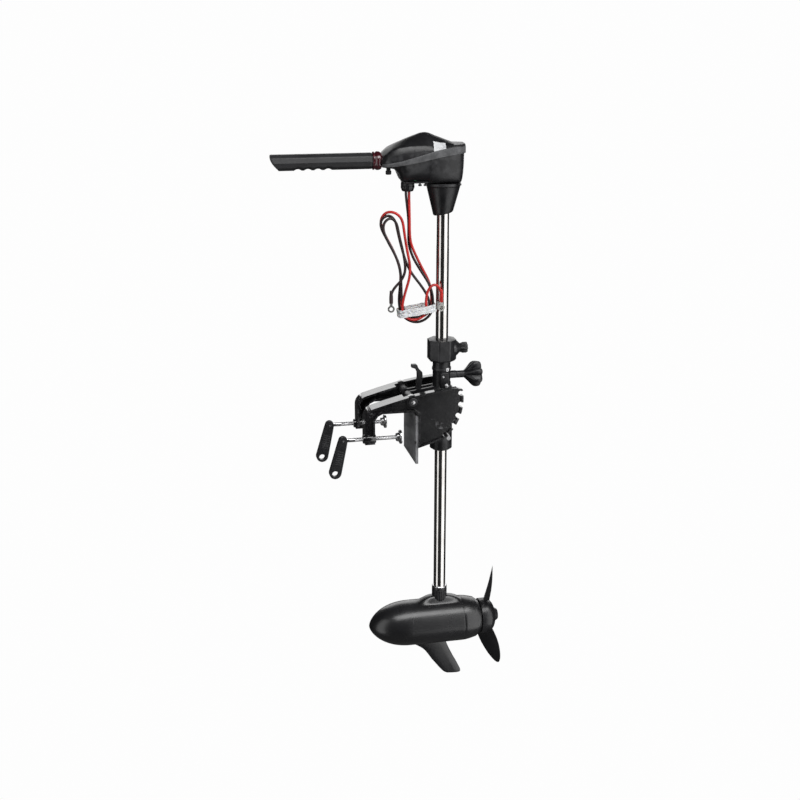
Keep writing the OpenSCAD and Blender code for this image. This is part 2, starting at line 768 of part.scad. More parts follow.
// half chord, pitch angle and half thickness at a share t of the blade's length
function half_chord(t) = 36 * (t < 0.5 ? 0.5 + 0.5 * sin(180 * t) : sqrt(1 - 0.97 * pow(2 * t - 1, 2)));
function blade_pitch(t) = 40 - 20 * t;
function half_thick(t) = 3.6 - 2.4 * t;
function blade_ring(t, sides) = let (r = 22 + (prop_d / 2 - 22) * t, b = blade_pitch(t))
    [for (k = [0 : sides - 1]) let (
        c = half_chord(t) * cos(360 * k / sides) + blade_skew * t * t,
        h = half_thick(t) * sin(360 * k / sides))
        [c * sin(b) + h * cos(b) + blade_rake * t, c * cos(b) - h * sin(b), r]];

module blade() {
    sides = 20;
    last = 14;
    rings = [for (i = [0 : last]) each blade_ring(i / last, sides)];
    polyhedron(rings, skin(last, sides));
}

module propeller() {
    hub_x = 176;
    color("#1a1a1c") translate([0, 0, pod_z]) difference() {
        union() {
            turn_x(concat([[0, hub_x], [tail_r + 3, hub_x]],
                [for (a = [0 : 9 : 90]) [14 + (tail_r - 11) * cos(a), hub_x + 14 + 24 * sin(a)]],
                [[0, hub_x + 38]]));
            for (a = [0, 180]) rotate([a, 0, 0]) translate([hub_x + 17, 0, 0]) blade();
        }
        turn_x([[0, hub_x - 1], [tail_r - 1, hub_x - 1], [tail_r - 2, hub_x + 4], [11, hub_x + 6],
            [0, hub_x + 6]]);
        rod_x(hub_x, hub_x + 60, motor_r, 0, 0);
        rod_y(-14, 14, 2, 186, 0);
    }
}

module prop_washer() {
    color("silver") turn_x([[motor_r, 214], [10, 214], [10, 215.6], [motor_r, 215.6]], pod_z);
}

module prop_nut() {
    color("silver") translate([215.6, 0, pod_z]) rotate([0, 90, 0]) difference() {
        cylinder(h = 6, r = 9, $fn = 6);
        translate([0, 0, -1]) cylinder(h = 8, r = motor_r, $fn = 64);
    }
}

module drive_pin() {
    color("silver") translate([0, 0, pod_z]) rod_y(-14, 14, 2, 186, 0);
}

// ---------- battery leads ----------

black_route = [[-9.5, 0, 554], [-9.5, 0, 536], [-10, -3, 500], [-9, -6, 460], [-4, -8, 430], [2, -9, 412]];
red_route = [[-2.5, 0, 554], [-2.5, 0, 536], [-3, -6, 500], [-3, -15, 460], [-4, -21, 430], [-5, -22, 412]];
black_tail = [[-28, -9, 390], [-36, -10, 364], [-44, -12, 342], [-46, -12, 328], [-46, -12, 316]];
red_tail = [[30, -17, 352], [48, -18, 346], [62, -20, 336], [68, -21, 326], [68, -21, 316]];

// a point on the smooth curve through the route, and its direction
function knot(route, i) = route[max(0, min(len(route) - 1, i))];
function spot(route, i, t) = let (
    a = knot(route, i - 1), b = knot(route, i), c = knot(route, i + 1), d = knot(route, i + 2))
    0.5 * (2 * b + (c - a) * t + (2 * a - 5 * b + 4 * c - d) * t * t + (3 * b - a - 3 * c + d) * t * t * t);
function curve_points(route, steps) =
    [for (i = [0 : len(route) - 2], k = [0 : steps - 1]) spot(route, i, k / steps), route[len(route) - 1]];
function unit(v) = v / norm(v);

module cord_tube(route, d, steps = 3, sides = 8) {
    line = curve_points(route, steps);
    last = len(line) - 1;
    rings = [for (i = [0 : last]) let (
        dir = i == 0 ? [0, 0, -1] : unit(line[min(last, i + 1)] - line[max(0, i - 1)]),
        u = unit(cross(dir, [0, 1, 0])), v = cross(dir, u))
        for (a = [0 : 360 / sides : 359]) line[i] + d / 2 * (cos(a) * u + sin(a) * v)];
    polyhedron(rings, skin(last, sides));
}

module black_lead() {
    color("#151515") {
        cord_tube(black_route, lead_d);
        cord_tube(black_tail, lead_d, 2);
    }
}

module red_lead() {
    color("#a01616") {
        cord_tube(red_route, lead_d);
        cord_tube(red_tail, lead_d, 2);
    }
}

// the bundle of folded lead: a narrow waist between an upper loop and a wide lower one
module hank(y_front, top_left, top_right, waist) {
    thick = 2 * lead_d + 1;
    slab_y(y_front, y_front + thick) {
        hull() {
            translate(top_left) circle(r = 16, $fn = 32);
            translate(top_right) circle(r = 14, $fn = 32);
            translate(waist) circle(r = 15, $fn = 32);
        }
        hull() {
            translate(waist) circle(r = 15, $fn = 32);
            translate([-16, 283]) circle(r = 12, $fn = 32);
            translate([42, 285]) circle(r = 12, $fn = 32);
            translate([13, 270]) circle(r = 13, $fn = 32);
        }
    }
}
module black_hank() { color("#151515") hank(-13, [-60, 486], [-38, 486], [-14, 398]); }
module red_hank() { color("#a01616") hank(-26.2, [-52, 488], [-28, 484], [-6, 398]); }

module lead_tie() {
    inner = [88, 27.6, 16];
    wall = 1.4;
    color("#e8e8e6") translate([13, -13, 283]) rotate([0, -8, 0]) difference() {
        cube([inner[0] + 2 * wall, inner[1] + 2 * wall, inner[2]], center = true);
        cube([inner[0], inner[1], inner[2] + 2], center = true);
    }
}

module ring_lug(x, y) {
    hole_r = 4.2;
    color("#b8babd") {
        translate([x, y, 300]) cylinder(h = 16, r = 3.4);
        slab_y(y - 0.8, y + 0.8) difference() {
            union() {
                translate([x, 288]) circle(r = 8);
                translate([x - 3, 288]) square([6, 12]);
            }
            translate([x, 288]) circle(r = hole_r);
        }
    }
}
module black_terminal() { ring_lug(-46, -12); }
module red_terminal() { ring_lug(68, -21); }

side_casting_left();
side_casting_right();
transom_plate();
plate_screws();
pivot_bolt();
pivot_nut();
swivel_sleeve();
upper_bush();
lower_bush();
lock_yoke();
tilt_lever();
lever_pin();
lever_spring();
tension_stud();
tension_knob();
depth_collar();
collar_knob();
shaft_tube();
shaft_socket();
lower_housing();
trim_band();
top_cover();
cover_screws();
label_plate();
control_board();
lock_button();
tiller_tube();
tiller_ring();
tiller_grip();
gland_body();
gland_nut();
clamp_screw_left();
clamp_screw_right();
clamp_pad_left();
clamp_pad_right();
clamp_handle_left();
clamp_handle_right();
handle_pins_left();
handle_pins_right();
coupling_nut();
pod_body();
nose_cone();
rear_cap();
skeg();
magnets();
armature();
motor_shaft();
pod_bearings();
shaft_seal();
propeller();
prop_washer();
prop_nut();
drive_pin();
black_lead();
red_lead();
black_hank();
red_hank();
lead_tie();
black_terminal();
red_terminal();
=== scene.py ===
import json
import math

import bmesh
import bpy
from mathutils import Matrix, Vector, noise


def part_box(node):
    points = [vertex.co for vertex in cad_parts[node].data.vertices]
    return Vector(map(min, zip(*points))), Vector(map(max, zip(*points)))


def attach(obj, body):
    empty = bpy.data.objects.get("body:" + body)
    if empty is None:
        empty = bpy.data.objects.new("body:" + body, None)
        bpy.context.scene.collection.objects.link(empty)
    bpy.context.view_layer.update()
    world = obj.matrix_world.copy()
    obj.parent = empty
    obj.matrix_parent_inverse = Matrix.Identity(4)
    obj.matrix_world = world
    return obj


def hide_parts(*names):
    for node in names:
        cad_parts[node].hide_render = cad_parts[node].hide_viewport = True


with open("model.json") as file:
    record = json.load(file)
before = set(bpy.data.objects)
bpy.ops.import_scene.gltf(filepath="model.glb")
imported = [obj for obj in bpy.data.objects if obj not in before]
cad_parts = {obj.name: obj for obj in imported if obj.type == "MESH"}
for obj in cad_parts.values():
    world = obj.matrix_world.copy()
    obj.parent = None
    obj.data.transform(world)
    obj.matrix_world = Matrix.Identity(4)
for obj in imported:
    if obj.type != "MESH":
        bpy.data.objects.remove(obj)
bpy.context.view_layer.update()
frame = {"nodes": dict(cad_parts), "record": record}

MM = 0.001


def box_mm(node):
    """Lowest and highest corner of a CAD node, in millimetres."""
    low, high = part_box(node)
    return [c / MM for c in low], [c / MM for c in high]


def middle(low, high, axis):
    return (low[axis] + high[axis]) / 2


def circle(count):
    """Cosine and sine of evenly spaced angles."""
    return [(math.cos(math.tau * k / count), math.sin(math.tau * k / count)) for k in range(count)]


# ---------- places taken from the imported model, in millimetres ----------

TUBE_LO, TUBE_HI = box_mm("shaft_tube")
SHAFT_X = middle(TUBE_LO, TUBE_HI, 0)
SHAFT_R = (TUBE_HI[0] - TUBE_LO[0]) / 2
SOCKET_LO, SOCKET_HI = box_mm("shaft_socket")
NOSE_LO, NOSE_HI = box_mm("nose_cone")
REAR_LO, REAR_HI = box_mm("rear_cap")
POD_R = (REAR_HI[2] - REAR_LO[2]) / 2
POD_Z = middle(REAR_LO, REAR_HI, 2)
GRIP_LO, GRIP_HI = box_mm("tiller_grip")
RING_LO, RING_HI = box_mm("tiller_ring")
TILLER_Z = middle(RING_LO, RING_HI, 2)
COLLAR_LO, COLLAR_HI = box_mm("depth_collar")
NUT_LO, NUT_HI = box_mm("coupling_nut")
PROP_LO, PROP_HI = box_mm("propeller")
KNOB_LO, KNOB_HI = box_mm("tension_knob")
CKNOB_LO, CKNOB_HI = box_mm("collar_knob")
GLAND_LO, GLAND_HI = box_mm("gland_nut")


# ---------- mesh helpers; every length below is in millimetres ----------

def add_object(name, data, body, slot, nodes):
    obj = bpy.data.objects.new(name, data)
    bpy.context.scene.collection.objects.link(obj)
    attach(obj, body)
    if nodes:
        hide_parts(*nodes)
    obj.data.materials.append(MATERIALS[slot])
    return obj


def make_mesh(name, verts, faces, sharp=40):
    mesh = bpy.data.meshes.new(name)
    mesh.from_pydata([Vector(v) * MM for v in verts], [], faces)
    bm = bmesh.new()
    bm.from_mesh(mesh)
    bmesh.ops.remove_doubles(bm, verts=bm.verts, dist=1e-6)
    bmesh.ops.recalc_face_normals(bm, faces=bm.faces)
    bm.to_mesh(mesh)
    bm.free()
    smooth(mesh, sharp)
    return mesh


def smooth(mesh, sharp):
    mesh.polygons.foreach_set("use_smooth", [True] * len(mesh.polygons))
    mesh.set_sharp_from_angle(angle=math.radians(sharp))
    mesh.update()


def loft_mesh(name, rings, capped=True, looped=False, sharp=40):
    """Skin through rings that all have the same number of points."""
    sides = len(rings[0])
    verts = [p for ring in rings for p in ring]
    spans = len(rings) if looped else len(rings) - 1
    faces = []
    for i in range(spans):
        a, b = i * sides, ((i + 1) % len(rings)) * sides
        for k in range(sides):
            n = (k + 1) % sides
            faces.append((a + k, a + n, b + n, b + k))
    if capped and not looped:
        faces.append(tuple(range(sides - 1, -1, -1)))
        faces.append(tuple(range((len(rings) - 1) * sides, len(rings) * sides)))
    return make_mesh(name, verts, faces, sharp)


def add_loft(name, rings, slot, *nodes, body="motor", **how):
    """Piece lofted through rings, in place of the CAD nodes that are named."""
    return add_object(name, loft_mesh(name, rings, **how), body, slot, nodes)


def lathe_rings(profile, axis, centre, sides=96, shape=None):
    """Rings about an axis. profile holds (station, radius); shape scales a radius by angle and station."""
    rings = []
    for station, radius in profile:
        ring = []
        for k in range(sides):
            a = math.tau * k / sides
            r = max(radius, 0.02) * (shape(a, station) if shape else 1)
            if axis == "z":
                ring.append((centre[0] + r * math.cos(a), centre[1] + r * math.sin(a), station))
            else:
                ring.append((station, centre[0] + r * math.cos(a), centre[1] + r * math.sin(a)))
        rings.append(ring)
    return rings


def outline_mesh(name, outline, y0, y1, sharp=35):
    """Plate with an outline in the X-Z plane, from y0 to y1."""
    return loft_mesh(name, [[(x, y, z) for x, z in outline] for y in (y0, y1)], sharp=sharp)


def table_value(table, x):
    """Straight-line value from a table of (x, value)."""
    if x <= table[0][0]:
        return table[0][1]
    for (xa, va), (xb, vb) in zip(table, table[1:]):
        if x <= xb:
            return va + (vb - va) * (x - xa) / (xb - xa)
    return table[-1][1]


def soft_value(table, x, spread=3.0):
    """The same value, averaged over a short stretch so that corners are rounded."""
    return sum(table_value(table, x + spread * (i - 3) / 3) for i in range(7)) / 7


def smooth_step(t):
    t = min(1.0, max(0.0, t))
    return t * t * (3 - 2 * t)


def bevel(obj, width, segments=2, angle=32, weld=False):
    if weld:
        mod = obj.modifiers.new("weld", "WELD")
        mod.merge_threshold = 2e-5
    mod = obj.modifiers.new("bevel", "BEVEL")
    mod.width = width * MM
    mod.segments = segments
    mod.limit_method = "ANGLE"
    mod.angle_limit = math.radians(angle)
    mod.use_clamp_overlap = True
    mod.harden_normals = True
    return obj


def apply_modifiers(obj, sharp=40):
    bpy.context.view_layer.update()
    graph = bpy.context.evaluated_depsgraph_get()
    mesh = bpy.data.meshes.new_from_object(obj.evaluated_get(graph))
    obj.modifiers.clear()
    obj.data = mesh
    smooth(mesh, sharp)


def face_outward(mesh):
    bm = bmesh.new()
    bm.from_mesh(mesh)
    bmesh.ops.recalc_face_normals(bm, faces=bm.faces)
    bm.to_mesh(mesh)
    bm.free()


def cut(obj, cutter_mesh, sharp=40):
    """Cuts a shape out of a piece, then drops the cutter."""
    face_outward(obj.data)
    face_outward(cutter_mesh)
    cutter = bpy.data.objects.new("cutter", cutter_mesh)
    bpy.context.scene.collection.objects.link(cutter)
    mod = obj.modifiers.new("cut", "BOOLEAN")
    mod.object = cutter
    mod.operation = "DIFFERENCE"
    mod.solver = "EXACT"
    mod.use_self = True
    apply_modifiers(obj, sharp)
    bpy.data.objects.remove(cutter)


def smooth_path(points, steps=8):
    """Catmull-Rom curve through the points."""
    pts = [Vector(p) for p in points]
    out = []
    for i in range(len(pts) - 1):
        a, b = pts[max(0, i - 1)], pts[i]
        c, d = pts[i + 1], pts[min(len(pts) - 1, i + 2)]
        for k in range(steps):
            t = k / steps
            out.append(0.5 * (2 * b + (c - a) * t + (2 * a - 5 * b + 4 * c - d) * t * t
                              + (3 * b - a - 3 * c + d) * t ** 3))
    out.append(pts[-1])
    return out


# ---------- materials ----------

class Graph:
    """Small helper that builds one procedural material."""

    def __init__(self, name):
        self.mat = bpy.data.materials.new(name)
        self.mat.use_nodes = True
        self.tree = self.mat.node_tree
        self.shader = self.tree.nodes["Principled BSDF"]
        self.coords = self.tree.nodes.new("ShaderNodeTexCoord").outputs["Object"]

    def node(self, kind, **values):
        n = self.tree.nodes.new(kind)
        for key, value in values.items():
            if key in n.inputs:
                n.inputs[key].default_value = value
            else:
                setattr(n, key, value)
        return n

    def link(self, a, b):
        self.tree.links.new(a, b)

    def noise(self, scale, stretch=(1, 1, 1), detail=4.0, rough=0.55):
        mapping = self.node("ShaderNodeMapping")
        mapping.inputs["Scale"].default_value = stretch
        self.link(self.coords, mapping.inputs["Vector"])
        tex = self.node("ShaderNodeTexNoise", Scale=scale, Detail=detail, Roughness=rough)
        self.link(mapping.outputs["Vector"], tex.inputs["Vector"])
        return tex.outputs["Fac"]

    def ramp(self, source, low, high, out_low, out_high):
        n = self.node("ShaderNodeMapRange")
        for name, value in (("From Min", low), ("From Max", high), ("To Min", out_low), ("To Max", out_high)):
            n.inputs[name].default_value = value
        self.link(source, n.inputs["Value"])
        return n.outputs["Result"]

    def patch(self, scale, low, high, span=(0, 1), **how):
        """Noise of a given scale, spread over a span."""
        return self.ramp(self.noise(scale, **how), low, high, *span)

    def blend(self, factor, a, b):
        n = self.node("ShaderNodeMix", data_type="RGBA")
        self.link(factor, n.inputs["Factor"])
        for socket, value in ((n.inputs[6], a), (n.inputs[7], b)):
            if isinstance(value, tuple):
                socket.default_value = (*value, 1)
            else:
                self.link(value, socket)
        return n.outputs[2]

    def multiply(self, a, b):
        n = self.node("ShaderNodeMath", operation="MULTIPLY")
        self.link(a, n.inputs[0])
        self.link(b, n.inputs[1])
        return n.outputs[0]

    def edges(self, low=0.51, high=0.56):
        geo = self.node("ShaderNodeNewGeometry")
        return self.ramp(geo.outputs["Pointiness"], low, high, 0, 1)

    def bump(self, source, strength, distance, under=None):
        n = self.node("ShaderNodeBump", Strength=strength)
        n.inputs["Distance"].default_value = distance * MM
        self.link(source, n.inputs["Height"])
        if under is not None:
            self.link(under, n.inputs["Normal"])
        return n.outputs["Normal"]

    def set(self, **values):
        names = {"metal": "Metallic", "coat": "Coat Weight", "coat_rough": "Coat Roughness",
                 "spec": "Specular IOR Level", "sheen": "Sheen Weight", "sss": "Subsurface Weight"}
        for key, value in values.items():
            self.shader.inputs[names[key]].default_value = value

    def finish(self, colour, rough, normal):
        self.link(colour, self.shader.inputs["Base Color"])
        self.link(rough, self.shader.inputs["Roughness"])
        self.link(normal, self.shader.inputs["Normal"])
        return self.mat


def moulded(name, dark, light, rough=(0.34, 0.5), grain=900, grain_depth=0.05, wear=(0.09, 0.09, 0.095),
            coat=0.0):
    """Moulded plastic: patchy colour, a fine spark-eroded grain and slightly polished edges."""
    g = Graph(name)
    patches = g.patch(14, 0.35, 0.65, detail=5)
    colour = g.blend(patches, dark, light)
    speck = g.patch(420, 0.62, 0.72, (0, 0.25), detail=2)
    colour = g.blend(speck, colour, wear)
    worn = g.multiply(g.edges(), g.patch(60, 0.42, 0.62, (0, 0.35), detail=6))
    colour = g.blend(worn, colour, wear)
    roughness = g.patch(45, 0.3, 0.7, rough, detail=6)
    fine = g.bump(g.noise(grain, detail=2, rough=0.6), 0.35, grain_depth)
    normal = g.bump(g.noise(22, detail=3), 0.12, 0.3, fine)
    g.set(coat=coat, coat_rough=0.2)
    return g.finish(colour, roughness, normal)


def paint(name, dark, light, rough=(0.16, 0.3), coat=0.6, coat_rough=0.12, ripple=0.3,
          wear=(0.25, 0.25, 0.26)):
    """Sprayed or powder-coated metal: orange peel, dust specks, and lighter edges that are partly rubbed wear
    and partly a painted rim highlight.
    """
    g = Graph(name)
    colour = g.blend(g.patch(9, 0.35, 0.65, detail=6), dark, light)
    dust = g.patch(700, 0.66, 0.74, (0, 0.3), detail=2)
    colour = g.blend(dust, colour, wear)
    # Sharp edges are lightened with the wear colour: partly rubbed wear, partly a painted highlight along the
    # rims.
    rub_and_rim_highlight = g.multiply(g.edges(0.52, 0.58), g.patch(110, 0.5, 0.66, (0, 0.5), detail=6))
    colour = g.blend(rub_and_rim_highlight, colour, wear)
    roughness = g.patch(30, 0.3, 0.7, rough, detail=7)
    peel = g.bump(g.noise(260, detail=2), ripple, 0.06)
    normal = g.bump(g.noise(40, detail=3), 0.1, 0.25, peel)
    g.set(coat=coat, coat_rough=coat_rough)
    return g.finish(colour, roughness, normal)


def metal(name, dark, light, rough=(0.08, 0.2), stretch=(1, 1, 1), lines=500, depth=0.01):
    """Plated or drawn metal, with fine lines along the stretched direction and faint stains."""
    g = Graph(name)
    stains = g.patch(26, 0.4, 0.66, detail=6)
    colour = g.blend(stains, light, dark)
    drawn = g.noise(lines, stretch=stretch, detail=3)
    smear = g.patch(35, 0.35, 0.7, rough, detail=7)
    normal = g.bump(drawn, 0.3, depth)
    g.set(metal=1.0)
    return g.finish(colour, smear, normal)


def lead_skin(name, dark, light, rough=(0.28, 0.42)):
    """Flexible PVC insulation with soft scuffs and a slight waxy bloom."""
    g = Graph(name)
    colour = g.blend(g.patch(38, 0.35, 0.68, detail=5), dark, light)
    scuff = g.patch(240, 0.6, 0.74, (0, 0.4), stretch=(1, 1, 0.25), detail=5)
    colour = g.blend(scuff, colour, tuple(min(1, c * 1.6 + 0.03) for c in light))
    roughness = g.patch(90, 0.3, 0.7, rough, detail=5)
    normal = g.bump(g.noise(620, detail=2), 0.3, 0.05)
    g.set(coat=0.25, coat_rough=0.25)
    return g.finish(colour, roughness, normal)


def crumpled_wrap(name):
    """Thin white wrap: fine wrinkles, translucency, and painted shade that greys the creases."""
    g = Graph(name)
    fold_height_and_shade = g.noise(160, stretch=(1, 1, 2.2), detail=7, rough=0.62)
    # Painted shade: the low parts of the wrinkle pattern are coloured grey; the same pattern raises the
    # wrinkles in the bump.
    colour = g.blend(g.ramp(fold_height_and_shade, 0.38, 0.6, 0, 1), (0.55, 0.55, 0.56), (0.97, 0.97, 0.96))
    roughness = g.patch(80, 0.3, 0.7, (0.35, 0.6), detail=4)
    fine = g.bump(fold_height_and_shade, 0.9, 0.9)
    normal = g.bump(g.noise(420, detail=4), 0.5, 0.2, fine)
    g.set(sheen=0.2, sss=0.1)
    return g.finish(colour, roughness, normal)


def circuit_board(name):
    """Green solder mask with copper tracks showing faintly."""
    g = Graph(name)
    tracks = g.node("ShaderNodeTexBrick", Scale=160.0)
    tracks.inputs["Color1"].default_value = (0.02, 0.12, 0.04, 1)
    tracks.inputs["Color2"].default_value = (0.03, 0.2, 0.07, 1)
    tracks.inputs["Mortar"].default_value = (0.25, 0.3, 0.1, 1)
    g.link(g.coords, tracks.inputs["Vector"])
    roughness = g.patch(90, 0.3, 0.7, (0.25, 0.45))
    normal = g.bump(g.noise(300), 0.3, 0.1)
    g.set(coat=0.5, coat_rough=0.15)
    return g.finish(tracks.outputs["Color"], roughness, normal)


def brushed_plate(name):
    """The transom plate: grey rubbery plastic with broad diagonal rubbing marks."""
    g = Graph(name)
    marks = g.noise(30, stretch=(1, 0.35, 1.4), detail=7, rough=0.62)
    colour = g.blend(g.ramp(marks, 0.36, 0.64, 0, 1), (0.15, 0.152, 0.158), (0.3, 0.3, 0.31))
    scratch = g.patch(150, 0.6, 0.7, (0, 0.5), stretch=(1, 0.12, 1), detail=6)
    colour = g.blend(scratch, colour, (0.42, 0.42, 0.43))
    roughness = g.patch(60, 0.3, 0.7, (0.45, 0.7), detail=5)
    fine = g.bump(g.noise(1100, detail=2), 0.5, 0.08)
    normal = g.bump(marks, 0.35, 0.5, fine)
    g.set(spec=0.4)
    return g.finish(colour, roughness, normal)


BLACK = (0.006, 0.006, 0.007)
SOFT_BLACK = (0.013, 0.013, 0.015)
CHROME = (0.78, 0.78, 0.79)
STEEL_DARK = (0.42, 0.42, 0.43)
RECIPES = {
    # The castings use paint()'s grey wear colour for dust and for a painted highlight along their rims.
    "gloss_black_casting": (paint, (0.003, 0.003, 0.0035), (0.008, 0.008, 0.009), (0.16, 0.28),
        dict(coat=1.0, coat_rough=0.07, ripple=0.16)),
    "grey_plate": (brushed_plate,),
    "black_plastic": (moulded, BLACK, SOFT_BLACK, (0.3, 0.44)),
    "grey_trim": (moulded, (0.06, 0.061, 0.064), (0.09, 0.091, 0.095), (0.42, 0.58),
        dict(wear=(0.24, 0.24, 0.25))),
    "grip_plastic": (moulded, (0.012, 0.012, 0.013), (0.022, 0.022, 0.024), (0.4, 0.55),
        dict(grain=700, grain_depth=0.09)),
    # The ring's pinkish wear colour is also the colour of its painted rim highlight.
    "dark_red_ring": (paint, (0.035, 0.004, 0.008), (0.07, 0.007, 0.012), (0.12, 0.22),
        dict(coat=1.0, coat_rough=0.06, ripple=0.12, wear=(0.4, 0.1, 0.12))),
    "pale_label": (moulded, (0.66, 0.67, 0.69), (0.8, 0.81, 0.82), (0.35, 0.5),
        dict(grain=500, grain_depth=0.02, wear=(0.7, 0.7, 0.7))),
    "stainless_shaft": (metal, (0.6, 0.585, 0.565), (0.76, 0.745, 0.72), (0.09, 0.17),
        dict(stretch=(1, 1, 0.02), lines=900, depth=0.012)),
    "chrome_hardware": (metal, (0.6, 0.6, 0.61), CHROME, (0.2, 0.34), dict(depth=0.02)),
    "steel_hardware": (metal, STEEL_DARK, (0.6, 0.6, 0.61), (0.25, 0.4),
        dict(stretch=(0.1, 1, 1), depth=0.03)),
    "pod_paint": (paint, (0.009, 0.009, 0.01), (0.016, 0.016, 0.018), (0.26, 0.36),
        dict(coat=0.55, coat_rough=0.24, ripple=0.3)),
    "prop_plastic": (moulded, BLACK, (0.022, 0.022, 0.024), (0.26, 0.4), dict(coat=0.15)),
    "acetal_bush": (moulded, (0.02, 0.02, 0.021), (0.034, 0.034, 0.036), (0.4, 0.55)),
    "circuit_green": (circuit_board,),
    "magnet_grey": (paint, (0.08, 0.08, 0.085), (0.14, 0.14, 0.145), (0.5, 0.7), dict(coat=0.0)),
    "copper_winding": (metal, (0.45, 0.18, 0.07), (0.72, 0.34, 0.16), (0.25, 0.4),
        dict(stretch=(0.1, 1, 1), lines=300, depth=0.2)),
    "bronze_bearing": (metal, (0.4, 0.26, 0.1), (0.62, 0.44, 0.2), (0.25, 0.4)),
    "seal_rubber": (moulded, (0.01, 0.01, 0.01), (0.02, 0.02, 0.02), (0.6, 0.8)),
    "black_insulation": (lead_skin, (0.012, 0.006, 0.007), (0.035, 0.016, 0.018)),
    "red_insulation": (lead_skin, (0.42, 0.008, 0.006), (0.68, 0.02, 0.014)),
    "white_tie": (crumpled_wrap,),
    "tinned_lug": (metal, (0.45, 0.45, 0.43), (0.68, 0.68, 0.65), (0.22, 0.38)),
}


def make_materials():
    """Every material: the function that builds it, its colours and its settings."""
    made = {}
    for name, (build, *rest) in RECIPES.items():
        settings = rest.pop() if rest and isinstance(rest[-1], dict) else {}
        made[name] = build(name, *rest, **settings)
    return made


MATERIALS = make_materials()

# ---------- camera, at the photograph's viewing angle ----------

CAMERA_AZIMUTH = -12.0
CAMERA_PITCH = 17.1
CAMERA_HEIGHT = 0.920
CAMERA_REACH = 2.7865
CAMERA_SIDE = 0.096
FOCAL = 56.25


def make_camera():
    a = math.radians(CAMERA_AZIMUTH)
    data = bpy.data.cameras.new("camera")
    data.lens = FOCAL
    data.sensor_width = 36
    data.clip_start = 0.05
    data.clip_end = 200
    camera = bpy.data.objects.new("camera", data)
    bpy.context.scene.collection.objects.link(camera)
    right = Vector((math.cos(a), math.sin(a), 0))
    ahead = Vector((-math.sin(a), math.cos(a), 0))
    camera.location = Vector((SHAFT_X * MM, 0, CAMERA_HEIGHT)) - CAMERA_SIDE * right - CAMERA_REACH * ahead
    camera.rotation_euler = (math.radians(90 - CAMERA_PITCH), 0, a)
    bpy.context.scene.camera = camera
    return right, ahead


RIGHT, AHEAD = make_camera()

# ---------- battery leads; the routes are in millimetres ----------

LEAD_D = 6.0
EASING_PASSES = 6
BLACK_PATH = [(-9.5, 0, 550), (-9.3, 1.2, 538), (-3.3, 2.5, 489.2), (-3.4, 1.5, 455.9), (-2.1, 2, 429.6),
    (6.6, -0.5, 401.5), (24.6, -1, 370.5), (41.9, -2, 343.3), (51.5, -2, 315.8), (52.4, -2, 286.8),
    (44.6, -2, 265.5), (23, -2, 252.8), (-0.3, -2, 256), (-18.9, -2, 272), (-26, -2, 298.4),
    (-24.3, -2, 328.9), (-21.4, -2.5, 359.4), (-26.8, -3, 390), (-39.9, -4, 418.9), (-56.3, -5, 449.5),
    (-67.3, -6, 472.3), (-66.3, -7, 489.5), (-51, -8, 499), (-36.3, -9, 487.5), (-30.3, -9, 462.3),
    (-22, -9, 428.5), (-11.7, -9, 394.3), (1.8, -8.6, 367.2), (21, -9, 341.8), (38.5, -9, 314.2),
    (43.7, -9, 288.9), (33, -9, 270.8), (11.7, -9, 265.7), (-8.8, -9, 272.1), (-19, -9.5, 292),
    (-22, -10, 322.8), (-23, -10, 357.1), (-28, -11, 387.8), (-38.8, -13, 414.9), (-54.4, -14, 443.6),
    (-63.9, -15, 468.1), (-60.9, -15.6, 485.5), (-47, -16, 494), (-34, -16, 481.5), (-28, -15.8, 452.2),
    (-19.6, -15.6, 418.3), (-14.1, -15, 384.2), (-17, -14.8, 366), (-25, -14, 351), (-35, -13, 340.5),
    (-43, -12.2, 329), (-46, -12, 318), (-46, -12, 313)]
RED_PATH = [(-2.5, 0, 550), (-3, -1.2, 538), (-2.3, -3.8, 490.1), (-2, -4.8, 456.8), (1, -4.8, 433.6),
    (13, -0.5, 406), (30, 5.2, 372.9), (45, 6.4, 344.4), (50.8, 6.2, 316), (50.6, 5.4, 287),
    (42, 4.8, 270), (23, 4.6, 261), (1, 4.6, 264), (-16.5, 4.6, 277.5), (-23.5, 4.6, 300),
    (-22.6, 4.6, 331.6), (-20.6, 4.4, 362.1), (-27, 4, 391.5), (-40, 3, 422.5), (-55.5, 2, 451.5),
    (-65.5, 1, 475), (-65.2, -0.5, 492), (-54.5, -9, 506.2), (-36.6, -19, 505), (-23, -22.5, 490),
    (-18.2, -23, 460.4), (-12.1, -23, 423.1), (-5.2, -23, 387.3), (-6.7, -23, 359.1), (-15, -23, 331),
    (-21.8, -22.6, 302.7), (-21.7, -22, 281.5), (-12, -21, 268), (7, -20.5, 262.5), (25, -20.5, 269),
    (32.5, -21, 286), (32, -22.5, 308), (36.5, -23, 330), (49, -23, 342.5), (61.5, -22, 336),
    (67.6, -21.2, 322), (68, -21, 313)]


def tube_rings(points, r, sides=18):
    """Round rings square to the line through the points, each turned as little as possible."""
    rings, across = [], Vector((0, 1, 0))
    for i, point in enumerate(points):
        along = (points[min(i + 1, len(points) - 1)] - points[max(i - 1, 0)]).normalized()
        across = (across - across.dot(along) * along).normalized()
        other = along.cross(across)
        rings.append([point + r * (c * across + s * other) for c, s in circle(sides)])
    return rings


def make_lead(colour, route):
    """One strand of the hank, as a tube along its route to the lug."""
    points = smooth_path(route, 6)
    for _ in range(EASING_PASSES):
        eased = [(a + 2 * b + c) / 4 for a, b, c in zip(points, points[1:], points[2:])]
        points = [points[0]] + eased + [points[-1]]
    obj = add_loft(f"{colour}_lead_strand", tube_rings(points, LEAD_D / 2), f"{colour}_insulation",
                   f"{colour}_lead", f"{colour}_hank", sharp=60)


